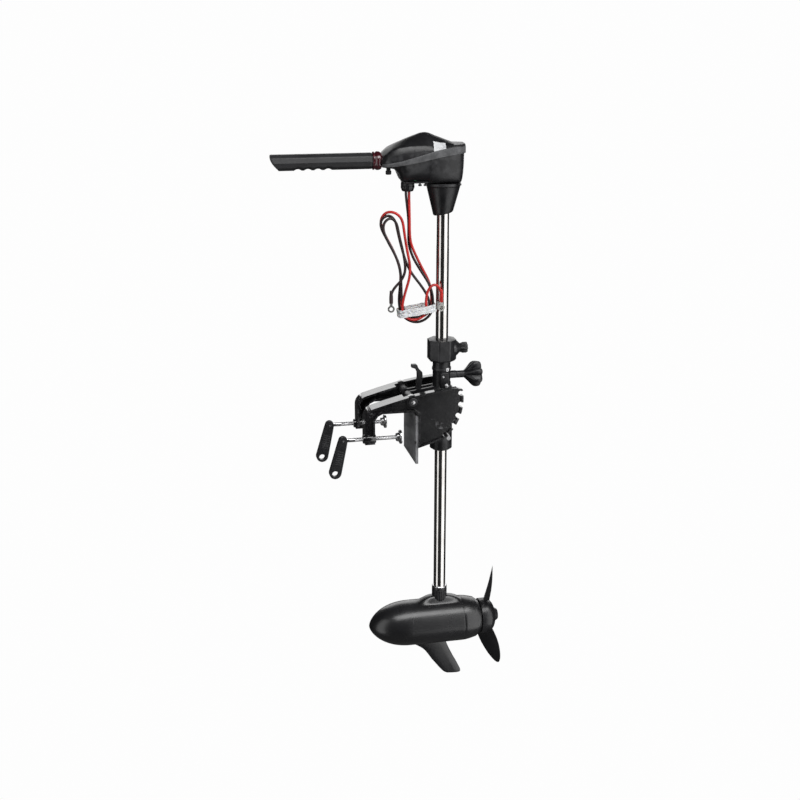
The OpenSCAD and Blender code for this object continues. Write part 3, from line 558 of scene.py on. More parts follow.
def make_boot(colour, route):
    """Heat-shrink sleeve over the barrel of a lug."""
    profile = [(301, 3.7), (302, 4.3), (312, 4.4), (318, 4.2), (324, 3.6), (330, 3.25), (330.4, 3.0)]
    rings = lathe_rings(profile, "z", route[-1], 40)
    add_loft(f"{colour}_lug_boot", rings, f"{colour}_insulation", sharp=50)


for MAKE in (make_lead, make_boot):
    MAKE("black", BLACK_PATH)
    MAKE("red", RED_PATH)


WRAP_Y = -8.5


def make_tie():
    """Crumpled wrap round the lower fold: a band of rounded section pulled in unevenly."""
    low, high = box_mm("lead_tie")
    cx, cy, cz = middle(low, high, 0), WRAP_Y, middle(low, high, 2)
    half_x, half_y, half_z = 44.6, 19.5, 8.6
    tilt = math.radians(8)
    sides, rows = 220, 26
    rings = []
    for inner in (0, 1):
        for j in range(rows + 1):
            v = (j / rows * 2 - 1) * (1 if inner == 0 else -1)
            ring = []
            for k in range(sides):
                a = math.tau * k / sides
                ca, sa = math.cos(a), math.sin(a)
                x = half_x * math.copysign(abs(ca) ** 0.42, ca)
                y = half_y * math.copysign(abs(sa) ** 0.5, sa)
                z = v * half_z
                seed = Vector((x * 0.11, y * 0.13, z * 0.22))
                crease = noise.turbulence(seed, 4, True) - 0.55
                shrink = 1.0 - 0.035 * inner + 0.085 * crease - 0.05 * (1 - abs(v)) ** 2
                x, y = x * min(1, shrink + 0.02), y * min(1, shrink)
                z += 1.1 * noise.noise(seed * 1.7 + Vector((5, 0, 0))) * abs(v)
                ring.append((cx + x * math.cos(tilt) - z * math.sin(tilt), cy + y,
                             cz + x * math.sin(tilt) + z * math.cos(tilt)))
            rings.append(ring)
    add_loft("wrap_band", rings, "white_tie", "lead_tie", capped=False, looped=True, sharp=60)


make_tie()

# ---------- head ----------

BAND_TOP = [(-80, 611), (-68, 612.7), (-29, 619.7), (10, 630), (40, 638.5), (69, 644.5), (89, 647.5),
    (130, 648.5)]
BAND_LOW = [(-80, 603.5), (-68, 606), (-29, 610), (10, 616.3), (49, 624.5), (76, 629.5), (107, 632.9),
    (130, 633.5)]
RIDGE = [(-70, 622), (-66, 629), (-60, 636), (-55, 641), (-45, 648), (-35, 654), (-15, 663), (5, 670.5),
    (22, 676.2), (31, 677.4), (40, 676), (57, 669), (84, 659), (104, 651), (114, 649.4), (118, 648.6)]
FACET_TOP = [(-70, 618), (-66, 625), (-60, 631.5), (-54, 636.5), (-45, 643), (-35, 647.5), (-10, 651),
    (20, 651.6), (37, 650.5), (48, 647.5), (62, 646.5), (90, 649), (118, 648.5)]
FACET_LOW = [(-70, 613), (-66, 616), (-58, 622.5), (-49, 628), (-36, 632.5), (-23, 636.4), (10, 639.6),
    (37, 641.5), (50, 643), (62, 644), (90, 648), (118, 648.5)]
HEAD_MID = 24.0
HEAD_HALF = 94.0
HEAD_W = 48.0
PLAN_MID = 25.0
PLAN_HALF = 96.0


def half_width(x):
    """Half width of the head in plan, from a rounded rectangle that runs just past its ends."""
    share = min(1.0, abs(x - PLAN_MID) / PLAN_HALF)
    return HEAD_W * max(0.0, 1 - share ** 5) ** (1 / 3)


def cover_section(x):
    """Half section of the cover from the band's edge to the ridge: (share of width, height)."""
    base = soft_value(BAND_TOP, x)
    low = max(base + 1.4, soft_value(FACET_LOW, x))
    top = max(low + 2.4, soft_value(FACET_TOP, x))
    ridge = max(top + 2.4, soft_value(RIDGE, x, 2.0))
    return [(1.0, base), (1.0, low - 0.8), (0.993, low + 0.8), (0.905, top - 0.9), (0.875, top + 0.7),
            (0.62, top + (ridge - top) * 0.45), (0.34, top + (ridge - top) * 0.8), (0.12, ridge - 0.5),
            (0.0, ridge)]


def head_stations(count):
    return [HEAD_MID - HEAD_HALF * math.cos(math.pi * (i + 0.35) / (count - 0.3)) for i in range(count)]


def make_cover():
    rings = []
    for x in head_stations(72):
        w = max(0.4, half_width(x))
        half = cover_section(x)
        outline = [(-s * w, z) for s, z in half] + [(s * w, z) for s, z in reversed(half[:-1])]
        rings.append([(x, y, z) for y, z in outline])
    obj = add_loft("head_cover", rings, "black_plastic", "top_cover", sharp=55)
    cut(obj, loft_mesh("way", lathe_rings([(-100, 19.8), (-65.4, 19.8)], "x", (0, TILLER_Z), 64)), 38)
    for x in (-2.0, 20.0):
        groove = [(x - 0.35, 625), (x + 0.35, 625), (x + 0.35, 700), (x - 0.35, 700)]
        for side in (-1, 1):
            w = half_width(x)
            slot_mesh = outline_mesh("seam", groove, *sorted((side * w * 0.987, side * (w + 2))))
            cut(obj, slot_mesh, 38)


make_cover()


def make_band():
    """Grey trim that follows the head's outline and rises towards the rear."""
    rings = []
    count = 150
    for i in range(count):
        t = i / (count - 1)
        a = math.radians(193 + (527 - 193) * t)
        ca, sa = math.cos(a), math.sin(a)
        x = HEAD_MID + HEAD_HALF * ca
        w = half_width(x)
        y = math.copysign(w, sa) if abs(sa) > 0.02 else 0.0
        if x < -50 and abs(y) < 22:
            continue
        low, top = soft_value(BAND_LOW, x), soft_value(BAND_TOP, x)
        nx, ny = (x - PLAN_MID) ** 3 / PLAN_HALF ** 3, y / HEAD_W
        length = math.hypot(nx, ny) or 1
        nx, ny = nx / length, ny / length
        section = [(0.0, low + 0.8), (0.9, low + 0.1), (1.4, low + 0.9), (1.4, top - 1.0), (0.9, top - 0.1),
                   (-0.6, top), (-4.0, top - 0.4), (-4.0, low + 1.5)]
        rings.append([(x + nx * (d - 0.8), y + ny * (d - 0.8), z) for d, z in section])
    add_loft("head_band", rings, "grey_trim", "trim_band")


make_band()

HOUSING_LOW = [(-66, 604), (-56, 602.5), (-46, 601.5), (-34, 599), (-29, 591), (-24, 577), (-18, 571.3),
    (34, 571), (37, 567.6), (60, 567), (108, 567), (112, 569), (116, 600)]


def make_housing():
    """Lower shell: a drafted box that narrows to the round socket under it."""
    stations = [-65, -62, -58, -52, -46, -40, -36, -33, -31, -29, -27, -25, -23, -20, -16, -10, 0, 12, 24,
        32, 34.5, 36, 38, 42, 48, 56, 64, 72, 80, 88, 94, 99, 103, 106, 108.5, 110.5, 112, 113.5, 115]
    rings = []
    for x in stations:
        top = soft_value(BAND_LOW, x) + 1.5
        low = min(top - 2, soft_value(HOUSING_LOW, x, 1.5))
        w_top = max(1.0, half_width(HEAD_MID + (x - HEAD_MID) * 1.025) - 1.2)
        back = smooth_step((x - 5) / 55)
        w_low = w_top * (0.62 + 0.24 * back)
        ring = []
        steps = 14
        for k in range(steps + 1):
            a = math.pi * k / steps
            side = math.cos(a)
            power = 0.44 - 0.08 * back
            y_share = math.copysign(abs(side) ** power, side)
            depth = math.sin(a) ** power
            w = w_top + (w_low - w_top) * depth ** 1.6
            ring.append((x, -y_share * w, top + (low - top) * depth))
        ring += [(x, w_top * 0.5, top + 0.5), (x, -w_top * 0.5, top + 0.5)]
        rings.append(ring)
    add_loft("head_housing", rings, "black_plastic", "lower_housing", sharp=42)
    nose = [(-66, 9), (-65.4, 10), (-30, 10), (-20, 8)]
    add_loft("head_nose", lathe_rings(nose, "x", (0, TILLER_Z), 72), "black_plastic")


make_housing()


def make_chin_ledge():
    """Stepped rim under the housing's front part, where the two shells are screwed together."""
    outline = [(-18, 20), (-14, 26), (8, 30), (33, 31), (35.5, 28)]
    ring = outline + [(x, -y) for x, y in reversed(outline)]
    levels = ((569.6, 0.97), (570.2, 1.0), (572.6, 1.0), (573.2, 0.96))
    rings = [[(x, y * share, z) for x, y in ring] for z, share in levels]
    add_loft("head_ledge", rings, "black_plastic", sharp=30)


make_chin_ledge()


SOCKET_SLANT = 4.6


def make_socket():
    """Tapered socket; its lower edge is cut at a slight slant."""
    z0, z1 = SOCKET_LO[2], SOCKET_HI[2]
    profile = [(z0, 17.2), (z0 + 0.6, 21.2), (z0 + 2.2, 22.6), (z0 + 8, 24.3), (z0 + 54, 37.2),
        (z1 - 6.5, 38.0), (z1 - 5.6, 39.0), (z1 - 0.8, 39.0), (z1, 38.2), (z1, 14)]
    rings = lathe_rings(profile, "z", (SHAFT_X, 0), 96)
    slanted = []
    for ring in rings:
        reach = max(0.0, 1 - (ring[0][2] - z0) / 30)
        slanted.append([(x, y, z + reach * SOCKET_SLANT * ((x - SHAFT_X) / 22 - 1)) for x, y, z in ring])
    add_loft("shaft_cone", slanted, "black_plastic", "shaft_socket")


make_socket()


def along_line(points, share):
    """Point at a share of a broken line's length."""
    spans = [math.dist(a, b) for a, b in zip(points, points[1:])]
    left = share * sum(spans)
    for a, b, span in zip(points, points[1:], spans):
        if left <= span:
            return tuple(p + (q - p) * left / span for p, q in zip(a, b))
        left -= span
    return points[-1]


def make_label():
    """Blank pale label bent over the edge of the cover's side slope."""
    x0, x1, lean, bends = 41.5, 68.5, 2.5, 6
    rows, cols = 16, 10
    verts, faces = [], []
    for lift in (0.0, 0.5):
        for j in range(rows + 1):
            for i in range(cols + 1):
                x = x0 + (x1 - x0) * i / cols + lean * j / rows
                line = [(part * half_width(x), height) for part, height in cover_section(x)[:bends]]
                y, z = along_line(line, 0.02 + 0.96 * j / rows)
                verts.append((x, -y - 0.05 - lift * 0.7, z + lift))
    per = (rows + 1) * (cols + 1)
    for j in range(rows):
        for i in range(cols):
            a = j * (cols + 1) + i
            quad = (a, a + 1, a + cols + 2, a + cols + 1)
            faces.append(tuple(per + v for v in quad))
            faces.append(tuple(reversed(quad)))
    rim = list(range(cols + 1)) + [(j + 1) * (cols + 1) + cols for j in range(rows)]
    rim += [rows * (cols + 1) + cols - 1 - i for i in range(cols)]
    rim += [(rows - 1 - j) * (cols + 1) for j in range(rows - 1)]
    for a, b in zip(rim, rim[1:] + rim[:1]):
        faces.append((a, b, per + b, per + a))
    mesh = make_mesh("head_label", verts, faces, 40)
    add_object("head_label", mesh, "motor", "pale_label", ("label_plate",))


make_label()

# ---------- tiller ----------

SCALLOP_X = [GRIP_LO[0] + 59 + 22 * i for i in range(4)]
GRIP_R = (GRIP_HI[2] - GRIP_LO[2]) / 2


def grip_section(r):
    """Eight-sided grip section with rounded corners, as (y, z), starting at the top."""
    flats = [(0, 1.0), (38, 0.985), (72, 0.955), (108, 0.955), (142, 0.985), (180, 1.0), (218, 0.985),
             (252, 0.955), (288, 0.955), (322, 0.985)]
    ring = []
    for k in range(80):
        a = 360 * k / 80
        best = min(reach / max(0.2, math.cos(math.radians(a - at))) for at, reach in flats
                   if math.cos(math.radians(a - at)) > 0.2)
        ring.append((r * best * math.sin(math.radians(a)), r * best * math.cos(math.radians(a))))
    return ring


def make_grip():
    x0, x1 = GRIP_LO[0], GRIP_HI[0]
    stations = [x0 + t for t in (0.3, 1.2, 3, 6, 10, 15, 20)]
    stations += [x0 + 24 + (x1 - 6 - x0 - 24) * i / 130 for i in range(131)] + [x1 - 3, x1 - 1, x1]
    rings = []
    section = grip_section(GRIP_R - 0.5)
    for x in stations:
        end = max(0.0, (x - (x1 - 3)) / 3)
        tip = max(0.0, 1 - (x - x0) / 3.0)
        scale = 1 - 0.05 * end - 0.06 * tip ** 2
        ring = []
        for y, z in section:
            lean = max(0.0, 0.5 - z / GRIP_R / 2)
            slide = 18 * lean ** 2.2 * max(0.0, 1 - (x - x0) / 26)
            zz = z * scale
            if z < -0.45 * GRIP_R:
                bump = sum(max(0.0, 1 - ((x - s) / 8.2) ** 2) for s in SCALLOP_X)
                zz += 3.2 * bump * min(1.0, (-z / GRIP_R - 0.45) / 0.35)
            ring.append((x + slide, y * scale, TILLER_Z + zz))
        rings.append(ring)
    add_loft("tiller_handle", rings, "grip_plastic", "tiller_grip", body="tiller_grip", sharp=24)


make_grip()


def make_ring():
    x0, x1 = RING_LO[0], RING_HI[0]
    profile = [(x0, 10.1), (x0, 18.6), (x0 + 0.8, 19.5), (x0 + 3.2, 19.9), (x0 + 4.4, 18.7), (x0 + 6.6, 18.5),
               (x0 + 8.0, 19.9), (x0 + 9.6, 20.4), (x0 + 14.2, 20.4), (x0 + 15.8, 19.8), (x1 - 1.4, 18.9),
               (x1 - 0.4, 18.4), (x1, 17.5), (x1, 10.1)]
    add_loft("tiller_red_ring", lathe_rings(profile, "x", (0, TILLER_Z), 96),
             "dark_red_ring", "tiller_ring", body="tiller_twist", capped=False, sharp=45)


make_ring()


def make_gland():
    cx = middle(GLAND_LO, GLAND_HI, 0)
    z0, z1 = GLAND_LO[2], GLAND_HI[2]

    def ribs(a, z):
        return 1 + 0.018 * math.cos(12 * a) * (1 if z0 + 1 < z < z1 + 6 else 0.3)

    profile = [(z0, 8.4), (z0 - 0.0, 11.4), (z0 + 1.2, 12.6), (z0 + 7.5, 15.0), (z0 + 8.5, 15.3), (z1, 15.4),
               (z1, 9.5)]
    add_loft("gland_cap", lathe_rings(profile, "z", (cx, 0), 120, ribs),
             "black_plastic", "gland_nut", sharp=35)
    flange = [(z1 + 0.3, 9.5), (z1 + 0.3, 14.6), (z1 + 1.2, 15.2), (z1 + 7.6, 15.2), (z1 + 9.6, 14.2),
              (z1 + 9.9, 9.0), (z1 + 24, 9.0)]
    add_loft("gland_flange", lathe_rings(flange, "z", (cx, 0), 96), "black_plastic", "gland_body", sharp=35)


make_gland()


def make_button():
    low, high = box_mm("lock_button")
    cx, z0, z1 = middle(low, high, 0), low[2], high[2]
    profile = [(z0, 4.6), (z0 + 0.4, 5.6), (z0 + 1.3, 6.2), (z0 + 7.8, 6.3), (z0 + 8.5, 5.9), (z0 + 8.6, 4.7),
               (z1, 4.7)]

    def ridges(a, z):
        return 1 + (0.02 * math.cos(20 * a) if z < z0 + 8 else 0)

    add_loft("tilt_button", lathe_rings(profile, "z", (cx, 0), 120, ridges),
             "black_plastic", "lock_button", body="lock_button", sharp=35)


make_button()

# ---------- shaft, collar and knobs ----------

def make_shaft():
    z0, z1 = TUBE_LO[2], TUBE_HI[2]
    wall = 1.6
    profile = [(z0, SHAFT_R - wall), (z0, SHAFT_R - 0.3), (z0 + 0.3, SHAFT_R), (z1 - 0.3, SHAFT_R),
               (z1, SHAFT_R - 0.3), (z1, SHAFT_R - wall)]
    rings = lathe_rings(profile, "z", (SHAFT_X, 0), 160)
    add_loft("shaft_skin", rings, "stainless_shaft", "shaft_tube", capped=False, looped=True)


make_shaft()


COLLAR_FLAT = 31.5
COLLAR_SIDES = 8
COLLAR_POINTS = COLLAR_SIDES * 15


def octagon_ring(z, flat):
    """Eight flats, with as many points as a round ring of the collar has."""
    ring = []
    for k in range(COLLAR_POINTS):
        a = math.tau * (k / COLLAR_POINTS)
        nearest = round(a / (math.tau / COLLAR_SIDES)) * math.tau / COLLAR_SIDES
        r = flat / math.cos(a - nearest)
        ring.append((SHAFT_X + r * math.cos(a), r * math.sin(a), z))
    return ring


def round_ring(z, r):
    return [(SHAFT_X + r * c, r * s, z) for c, s in circle(COLLAR_POINTS)]


def make_collar():
    z0, z1 = COLLAR_LO[2], COLLAR_HI[2]
    bush_r, step_z = 21.2, z0 + 5.0
    flats = [(z0, COLLAR_FLAT - 3.6), (z0 + 0.5, COLLAR_FLAT - 3.1), (z0 + 4.0, COLLAR_FLAT - 0.2),
             (z0 + 4.8, COLLAR_FLAT), (z1 - 1.0, COLLAR_FLAT), (z1 - 0.3, COLLAR_FLAT - 0.3),
             (z1, COLLAR_FLAT - 1.0)]
    rings = [round_ring(z0, bush_r)] + [octagon_ring(z, f) for z, f in flats]
    rings += [round_ring(z1, SHAFT_R + 1.2), round_ring(z1 - 0.8, SHAFT_R + 0.3),
              round_ring(step_z, SHAFT_R + 0.3), round_ring(step_z, bush_r)]
    add_loft("collar_body", rings,
             "black_plastic", "depth_collar", body="depth_collar", capped=False, looped=True, sharp=25)
    cz = middle(CKNOB_LO, CKNOB_HI, 2)
    boss = [(SHAFT_X + 24, 21.5), (SHAFT_X + 29, 21.0), (SHAFT_X + 31, 20.2), (SHAFT_X + 40.5, 11.6),
            (SHAFT_X + 41.8, 10.8), (SHAFT_X + 42, 4.2)]

    def squared(a, x):
        return 1 + 0.07 * math.cos(4 * a)

    add_loft("collar_boss", lathe_rings(boss, "x", (0, cz), 72, squared),
             "black_plastic", body="depth_collar")


make_collar()


def lobed(count, depth, start, end):
    def shape(a, x):
        share = min(1.0, max(0.0, (x - start) / (end - start)))
        wave = (0.5 + 0.5 * math.cos(count * a)) ** 0.7
        return 1 - depth * share * (1 - wave)
    return shape


def make_knob(name, profile, z, grip_x, lobes, depth, body, nodes):
    rings = lathe_rings(profile, "x", (0, z), 168, lobed(lobes, depth, grip_x, grip_x + 16))
    add_loft(name, rings, "black_plastic", *nodes, body=body, sharp=32)


def make_knobs():
    z = middle(KNOB_LO, KNOB_HI, 2)
    x0, x1 = KNOB_LO[0], KNOB_HI[0]
    profile = [(x0, 4.2), (x0, 7.6), (x0 + 0.8, 8.4), (x0 + 18, 8.4), (x0 + 20.5, 10.5), (x0 + 23, 13),
               (x0 + 28, 18), (x0 + 34, 25), (x0 + 38, 28.5), (x0 + 43, 30.8), (x0 + 48, 31), (x1 - 5, 30.2),
               (x1 - 2, 28), (x1 - 0.4, 24.5), (x1, 21), (x1 - 0.6, 16.5), (x1 - 2.6, 15), (x1 - 3.0, 13),
               (x1 - 2.8, 0)]
    make_knob("tension_grip", profile, z, x0 + 19, 7, 0.3, "tension_knob", ("tension_knob",))
    z = middle(CKNOB_LO, CKNOB_HI, 2)
    x1 = CKNOB_HI[0]
    profile = [(x1 - 17.4, 4.4), (x1 - 17.4, 9.6), (x1 - 16.6, 10.8), (x1 - 13, 12.0), (x1 - 11, 12.9),
               (x1 - 2.2, 13), (x1 - 0.7, 12.2), (x1, 10.6), (x1 - 0.1, 6.5), (x1 - 0.9, 5.8), (x1 - 0.9, 0)]
    make_knob("collar_grip", profile, z, x1 - 28, 8, 0.2, "collar_knob", ("collar_knob",))


make_knobs()


def bolt_head(name, at, direction, r, body):
    """Domed screw head with a washer, facing the given direction in the X-Y plane."""
    dx, dy = math.cos(math.radians(direction)), math.sin(math.radians(direction))
    profile = [(-1.2, r * 1.5), (0.0, r * 1.5), (0.4, r * 1.4), (0.45, r), (1.6, r * 0.96), (2.6, r * 0.7),
               (2.9, r * 0.35), (2.3, r * 0.3), (2.2, 0.0)]
    rings = []
    for t, radius in profile:
        r_here = max(radius, 0.02)
        rings.append([(at[0] + dx * t - dy * r_here * c, at[1] + dy * t + dx * r_here * c, at[2] + r_here * s)
                      for c, s in circle(40)])
    add_loft(name, rings, "chrome_hardware", body=body, sharp=35)


def make_neck_clamp():
    """Split lug on the sleeve's neck that the tension screw pulls together, with its two screws."""
    outline = [(-10, 101), (-8, 99), (8, 99), (10, 101), (11, 118), (9, 134), (-6, 136), (-10, 132)]
    rings = []
    for depth, grow in ((0, 1.06), (4.2, 1.0), (5.6, 0.93)):
        rings.append([(SHAFT_X + 2 + x * grow, -19.4 - depth, 118 + (z - 118) * grow) for x, z in outline])
    bevel(add_loft("neck_lug", rings, "black_plastic", body="swivel", sharp=30), 0.8, 2, 25)
    bolt_head("neck_screw_high", (SHAFT_X + 9.5, -20.6, 141), -64, 3.1, "swivel")
    bolt_head("neck_screw_low", (SHAFT_X + 7.5, -24.6, 104), -78, 3.4, "swivel")
    bolt_head("neck_screw_mid", (SHAFT_X - 2, -24.9, 125), -95, 2.4, "swivel")


make_neck_clamp()

# ---------- screws that show ----------

def make_pivot_bolt():
    """Pivot bolt: a black washer under a small bright domed head."""
    low, high = box_mm("pivot_bolt")
    cx, cz = middle(low, high, 0), middle(low, high, 2)
    face = low[1] + 5
    shank = [(face, 5.9), (high[1] - 1, 5.9), (high[1], 5.0), (high[1], 0)]
    head = [(face - 2.6, 0), (face - 2.6, 9.0), (face - 2.0, 9.8), (face, 9.8), (face, 5.9)]
    rings = [[(cx + max(r, 0.02) * c, y, cz + max(r, 0.02) * s) for c, s in circle(64)]
             for y, r in head + shank]
    add_loft("pivot_washer", rings, "black_plastic", "pivot_bolt", body="clamp_bracket", sharp=35)
    bolt_head("pivot_screw_head", (cx, face - 2.6, cz), -90, 3.0, "clamp_bracket")


COVER_SCREWS = [(16, 26), (28, 26), (104, 32)]


def make_cover_screws():
    """Black screws sunk into the underside of the head."""
    low, high = box_mm("cover_screws")
    for i, (x, y) in enumerate(COVER_SCREWS):
        for side in (-1, 1):
            name = f"cover_screw_{i}_{side + 1}"
            profile = [(high[2], 1.9), (low[2] + 4, 2.0), (low[2] + 4, 3.9), (low[2] + 1.4, 3.9),
                (low[2] + 0.6, 3.2), (low[2] + 0.6, 1.6), (low[2] + 2, 1.4), (low[2] + 2, 0)]
            rings = lathe_rings(profile, "z", (x, side * y), 32)
            add_loft(name, rings, "black_plastic", "cover_screws", sharp=35)


make_pivot_bolt()
make_cover_screws()

# ---------- transom clamps ----------

THREAD_PITCH = 2.0
THREAD_R = 4.4
THREAD_DEEP = 0.34
ROD_R = 4.72
TANG_LONG = 20.5
FLANGE_LONG = 3.0


def make_clamp_screw(side, y):
    """Clamp rod: a flattened end for the handle, a rolled thread and a flange inside the pad."""
    node = f"clamp_screw_{side}"
    low, high = box_mm(node)
    x0, x1 = low[0] + TANG_LONG, high[0] - FLANGE_LONG
    flange = high[2]
    sides, per_turn = 32, 8
    rings = []

    def ring_at(x, r_y, r_z, wave=0.0):
        ring = []
        for k in range(sides):
            a = math.tau * k / sides
            twist = wave * math.cos(math.tau * x / THREAD_PITCH - a)
            ring.append((x, y + (r_y + twist) * math.cos(a), (r_z + twist) * math.sin(a)))
        return ring

    for x, r_y, r_z in ((low[0], 2.2, 3.2), (low[0] + 0.8, 2.9, 4.2), (low[0] + 3, 2.95, 4.7),
                        (x0 - 4, 2.95, 4.7), (x0 - 0.5, 4.4, 4.6), (x0, 4.7, 4.7)):
        rings.append(ring_at(x, r_y, r_z))
    steps = int((x1 - x0) / THREAD_PITCH * per_turn)
    for i in range(1, steps):
        x = x0 + (x1 - x0) * i / steps
        plain = min(1.0, max(0.0, min(x - x0 - 12, x1 - 2 - x)))
        r = ROD_R - (ROD_R - THREAD_R) * plain
        rings.append(ring_at(x, r, r, THREAD_DEEP * plain))
    for x, r in ((x1, 4.7), (x1 + 1.6, flange - 0.4), (x1 + 2, flange), (high[0] - 0.1, flange),
                 (high[0], flange - 0.3)):
        rings.append(ring_at(x, r, r))
    add_loft(f"clamp_rod_{side}", rings, "chrome_hardware", node, body=node, sharp=50)


for SIDE, SIDE_Y in (("left", 60.0), ("right", -60.0)):
    make_clamp_screw(SIDE, SIDE_Y)

# ---------- pod ----------

SEAM_A = NOSE_HI[0]
SEAM_B = REAR_LO[0]


def make_nose():
    reach = SEAM_A - NOSE_LO[0]
    profile = []
    for i in range(49):
        t = 1 - i / 48
        t = math.sin(t * math.pi / 2)
        profile.append((SEAM_A - reach * t, POD_R * max(0.0, 1 - t ** 2.2) ** 0.62))
    profile[-1] = (SEAM_A - 0.9, POD_R)
    profile += [(SEAM_A, POD_R), (SEAM_A, 20)]
    add_loft("pod_nose", lathe_rings(profile, "x", (0, POD_Z), 128), "pod_paint", "nose_cone")


HUMP = [(18, 0), (24, 1.5), (32, 5.5), (42, 10.5), (50, 13), (58, 14), (96, 12), (108, 9.5), (116, 6.5),
    (123, 2.5), (127.5, 0)]


def hump(x, y):
    """Height of the fairing above the pod's own surface."""
    across = 1 - smooth_step((abs(y) - 7) / 15)
    return soft_value(HUMP, x, 4.0) * across


def make_pod_body():
    """Barrel with the fairing raised out of its top, so that the two run into each other."""
    sides, rings = 256, []
    stations = [SEAM_A + 0.02, SEAM_A + 0.5, SEAM_A + 1.2]
    stations += [SEAM_A + 2 + (SEAM_B - SEAM_A - 4) * i / 84 for i in range(85)]
    stations += [SEAM_B - 1.2, SEAM_B - 0.5, SEAM_B - 0.02]
    for x in stations:
        edge = SEAM_B - x
        r = POD_R - (0.25 if edge < 0.3 else 0.1 if edge < 1.0 else 0.0)
        ring = []
        for k in range(sides):
            a = math.tau * k / sides
            y, z = r * math.sin(a), r * math.cos(a)
            if z > 0:
                z += hump(x, y) * smooth_step(z / POD_R * 2)
            ring.append((x, y, POD_Z + z))
        rings.append(ring)
    add_loft("pod_barrel", rings, "pod_paint", "pod_body", sharp=50)


def make_rear():
    x0, x1 = REAR_LO[0], REAR_HI[0]
    profile = [(x0, POD_R - 6), (x0 + 0.02, POD_R - 0.5), (x0 + 0.5, POD_R - 0.35), (x0 + 1.2, POD_R - 0.05),
               (x0 + 8, POD_R - 0.45), (x0 + 18, POD_R - 2), (x0 + 27, POD_R - 4.2), (x0 + 34, POD_R - 6),
               (x0 + 34.6, POD_R - 7.0), (x0 + 36, POD_R - 7.2), (x1 - 2, 41.2), (x1 - 0.6, 40.6), (x1, 39.4),
               (x1, 12)]
    add_loft("pod_rear", lathe_rings(profile, "x", (0, POD_Z), 128), "pod_paint", "rear_cap")


make_nose()
make_pod_body()
make_rear()


def make_coupling():
    z0, z1 = NUT_LO[2], NUT_HI[2]

    def ribs(a, z):
        if z > z1 - 8:
            return 1.0
        return 1 - 0.045 * (0.5 + 0.5 * math.cos(20 * a)) ** 3

    profile = [(z0 - 9, 15.8), (z0, 17.2), (z0 + 4, 18.0), (z0 + 24.6, 18.2), (z1 - 7.6, 18.2),
        (z1 - 6.8, 17.2), (z1 - 6.2, 17.2), (z1 - 5.6, 18.0), (z1 - 0.8, 18.0), (z1, 17.2), (z1, 14.5)]
    add_loft("coupling_grip", lathe_rings(profile, "z", (SHAFT_X, 0), 160, ribs),
             "black_plastic", "coupling_nut", capped=False, sharp=32)
    ring = [(z1 - 0.5, 14.5), (z1 - 0.5, 17.4), (z1 + 0.4, 17.9), (z1 + 2.2, 17.9), (z1 + 3.0, 17.2),
            (z1 + 3.0, 14.4)]
    add_loft("coupling_washer", lathe_rings(ring, "z", (SHAFT_X, 0), 96), "chrome_hardware", capped=False)


make_coupling()


FIN_MIDDLE = [(-8, 48), (0, 50), (12, 60), (37, 78), (64, 92), (96, 110)]


def make_skeg():
    """Fin with a rounded leading edge, thick along its root."""
    root = POD_Z - POD_R
    outline = [(6, root + 8), (8, root - 3), (16, root - 7.5), (24, root - 12.5), (32, root - 18),
        (40, root - 25.5), (48, root - 37), (57, root - 51), (67, root - 64), (77, root - 77),
        (84, root - 85.5), (90, root - 91), (97, root - 94.3), (110, root - 95.6), (122, root - 96),
        (129, root - 95), (131.6, root - 92), (130, root - 85), (120, root - 64), (110, root - 45),
        (101, root - 26), (95, root - 12), (92, root), (91, root + 8)]
    rings = []
    levels = [(0.0, 1.0), (0.9, 0.995), (2.0, 0.965), (3.2, 0.88), (4.2, 0.7), (4.8, 0.45)]
    order = [(-h, s) for h, s in reversed(levels)] + levels[1:]
    for half, share in order:
        ring = []
        for x, z in outline:
            mid = table_value(FIN_MIDDLE, root - z)
            px = mid + (x - mid) * share
            pz = root + 8 + (z - root - 8) * (1 - (1 - share) * 0.07)
            deep = min(1.0, max(0.0, (root - pz) / 96))
            ring.append((px, half * (1 - 0.45 * deep), pz))
        rings.append(ring)
    add_loft("pod_fin", rings, "pod_paint", "skeg", sharp=48)


make_skeg()

# ---------- propeller ----------

HUB_X = 176.0
BLADE_ROOT = 22.0
BLADE_SKEW = 26.0
BLADE_RAKE = 14.0


def half_chord(t):
    if t < 0.5:
        return 36 * (0.5 + 0.5 * math.sin(math.pi * t))
    return 36 * math.sqrt(max(0.0, 1 - 0.985 * ((t - 0.5) / 0.5) ** 2.2))


def blade_rings(turn):
    """Cambered blade with a round tip; the root is thickened where it runs into the hub."""
    tip = (PROP_HI[2] - PROP_LO[2]) / 2
    rings, sides = [], 56
    for i in range(44):
        t = min(1.0, (i / 43) ** 0.9)
        r = BLADE_ROOT + (tip - BLADE_ROOT) * t
        pitch = math.radians(40 - 20 * t)
        fillet = 4.5 * math.exp(-t * 16)
        ring = []
        for k in range(sides):
            a = math.tau * k / sides
            share = math.cos(a)
            c = half_chord(t) * share + BLADE_SKEW * t * t
            thick = (3.4 - 2.3 * t + fillet) * math.sin(a) * (1 - 0.35 * share)
            h = thick + 2.6 * (1 - share * share) * (1 - t * 0.5) - 1.3
            h *= min(1.0, (1 - t) * 7 + 0.22)
            ring.append((HUB_X + 17 + BLADE_RAKE * t + c * math.sin(pitch) + h * math.cos(pitch),
                         c * math.cos(pitch) - h * math.sin(pitch), r))
        rings.append(ring)
    ct, st = math.cos(turn), math.sin(turn)
    return [[(x, y * ct - z * st, POD_Z + y * st + z * ct) for x, y, z in ring] for ring in rings]


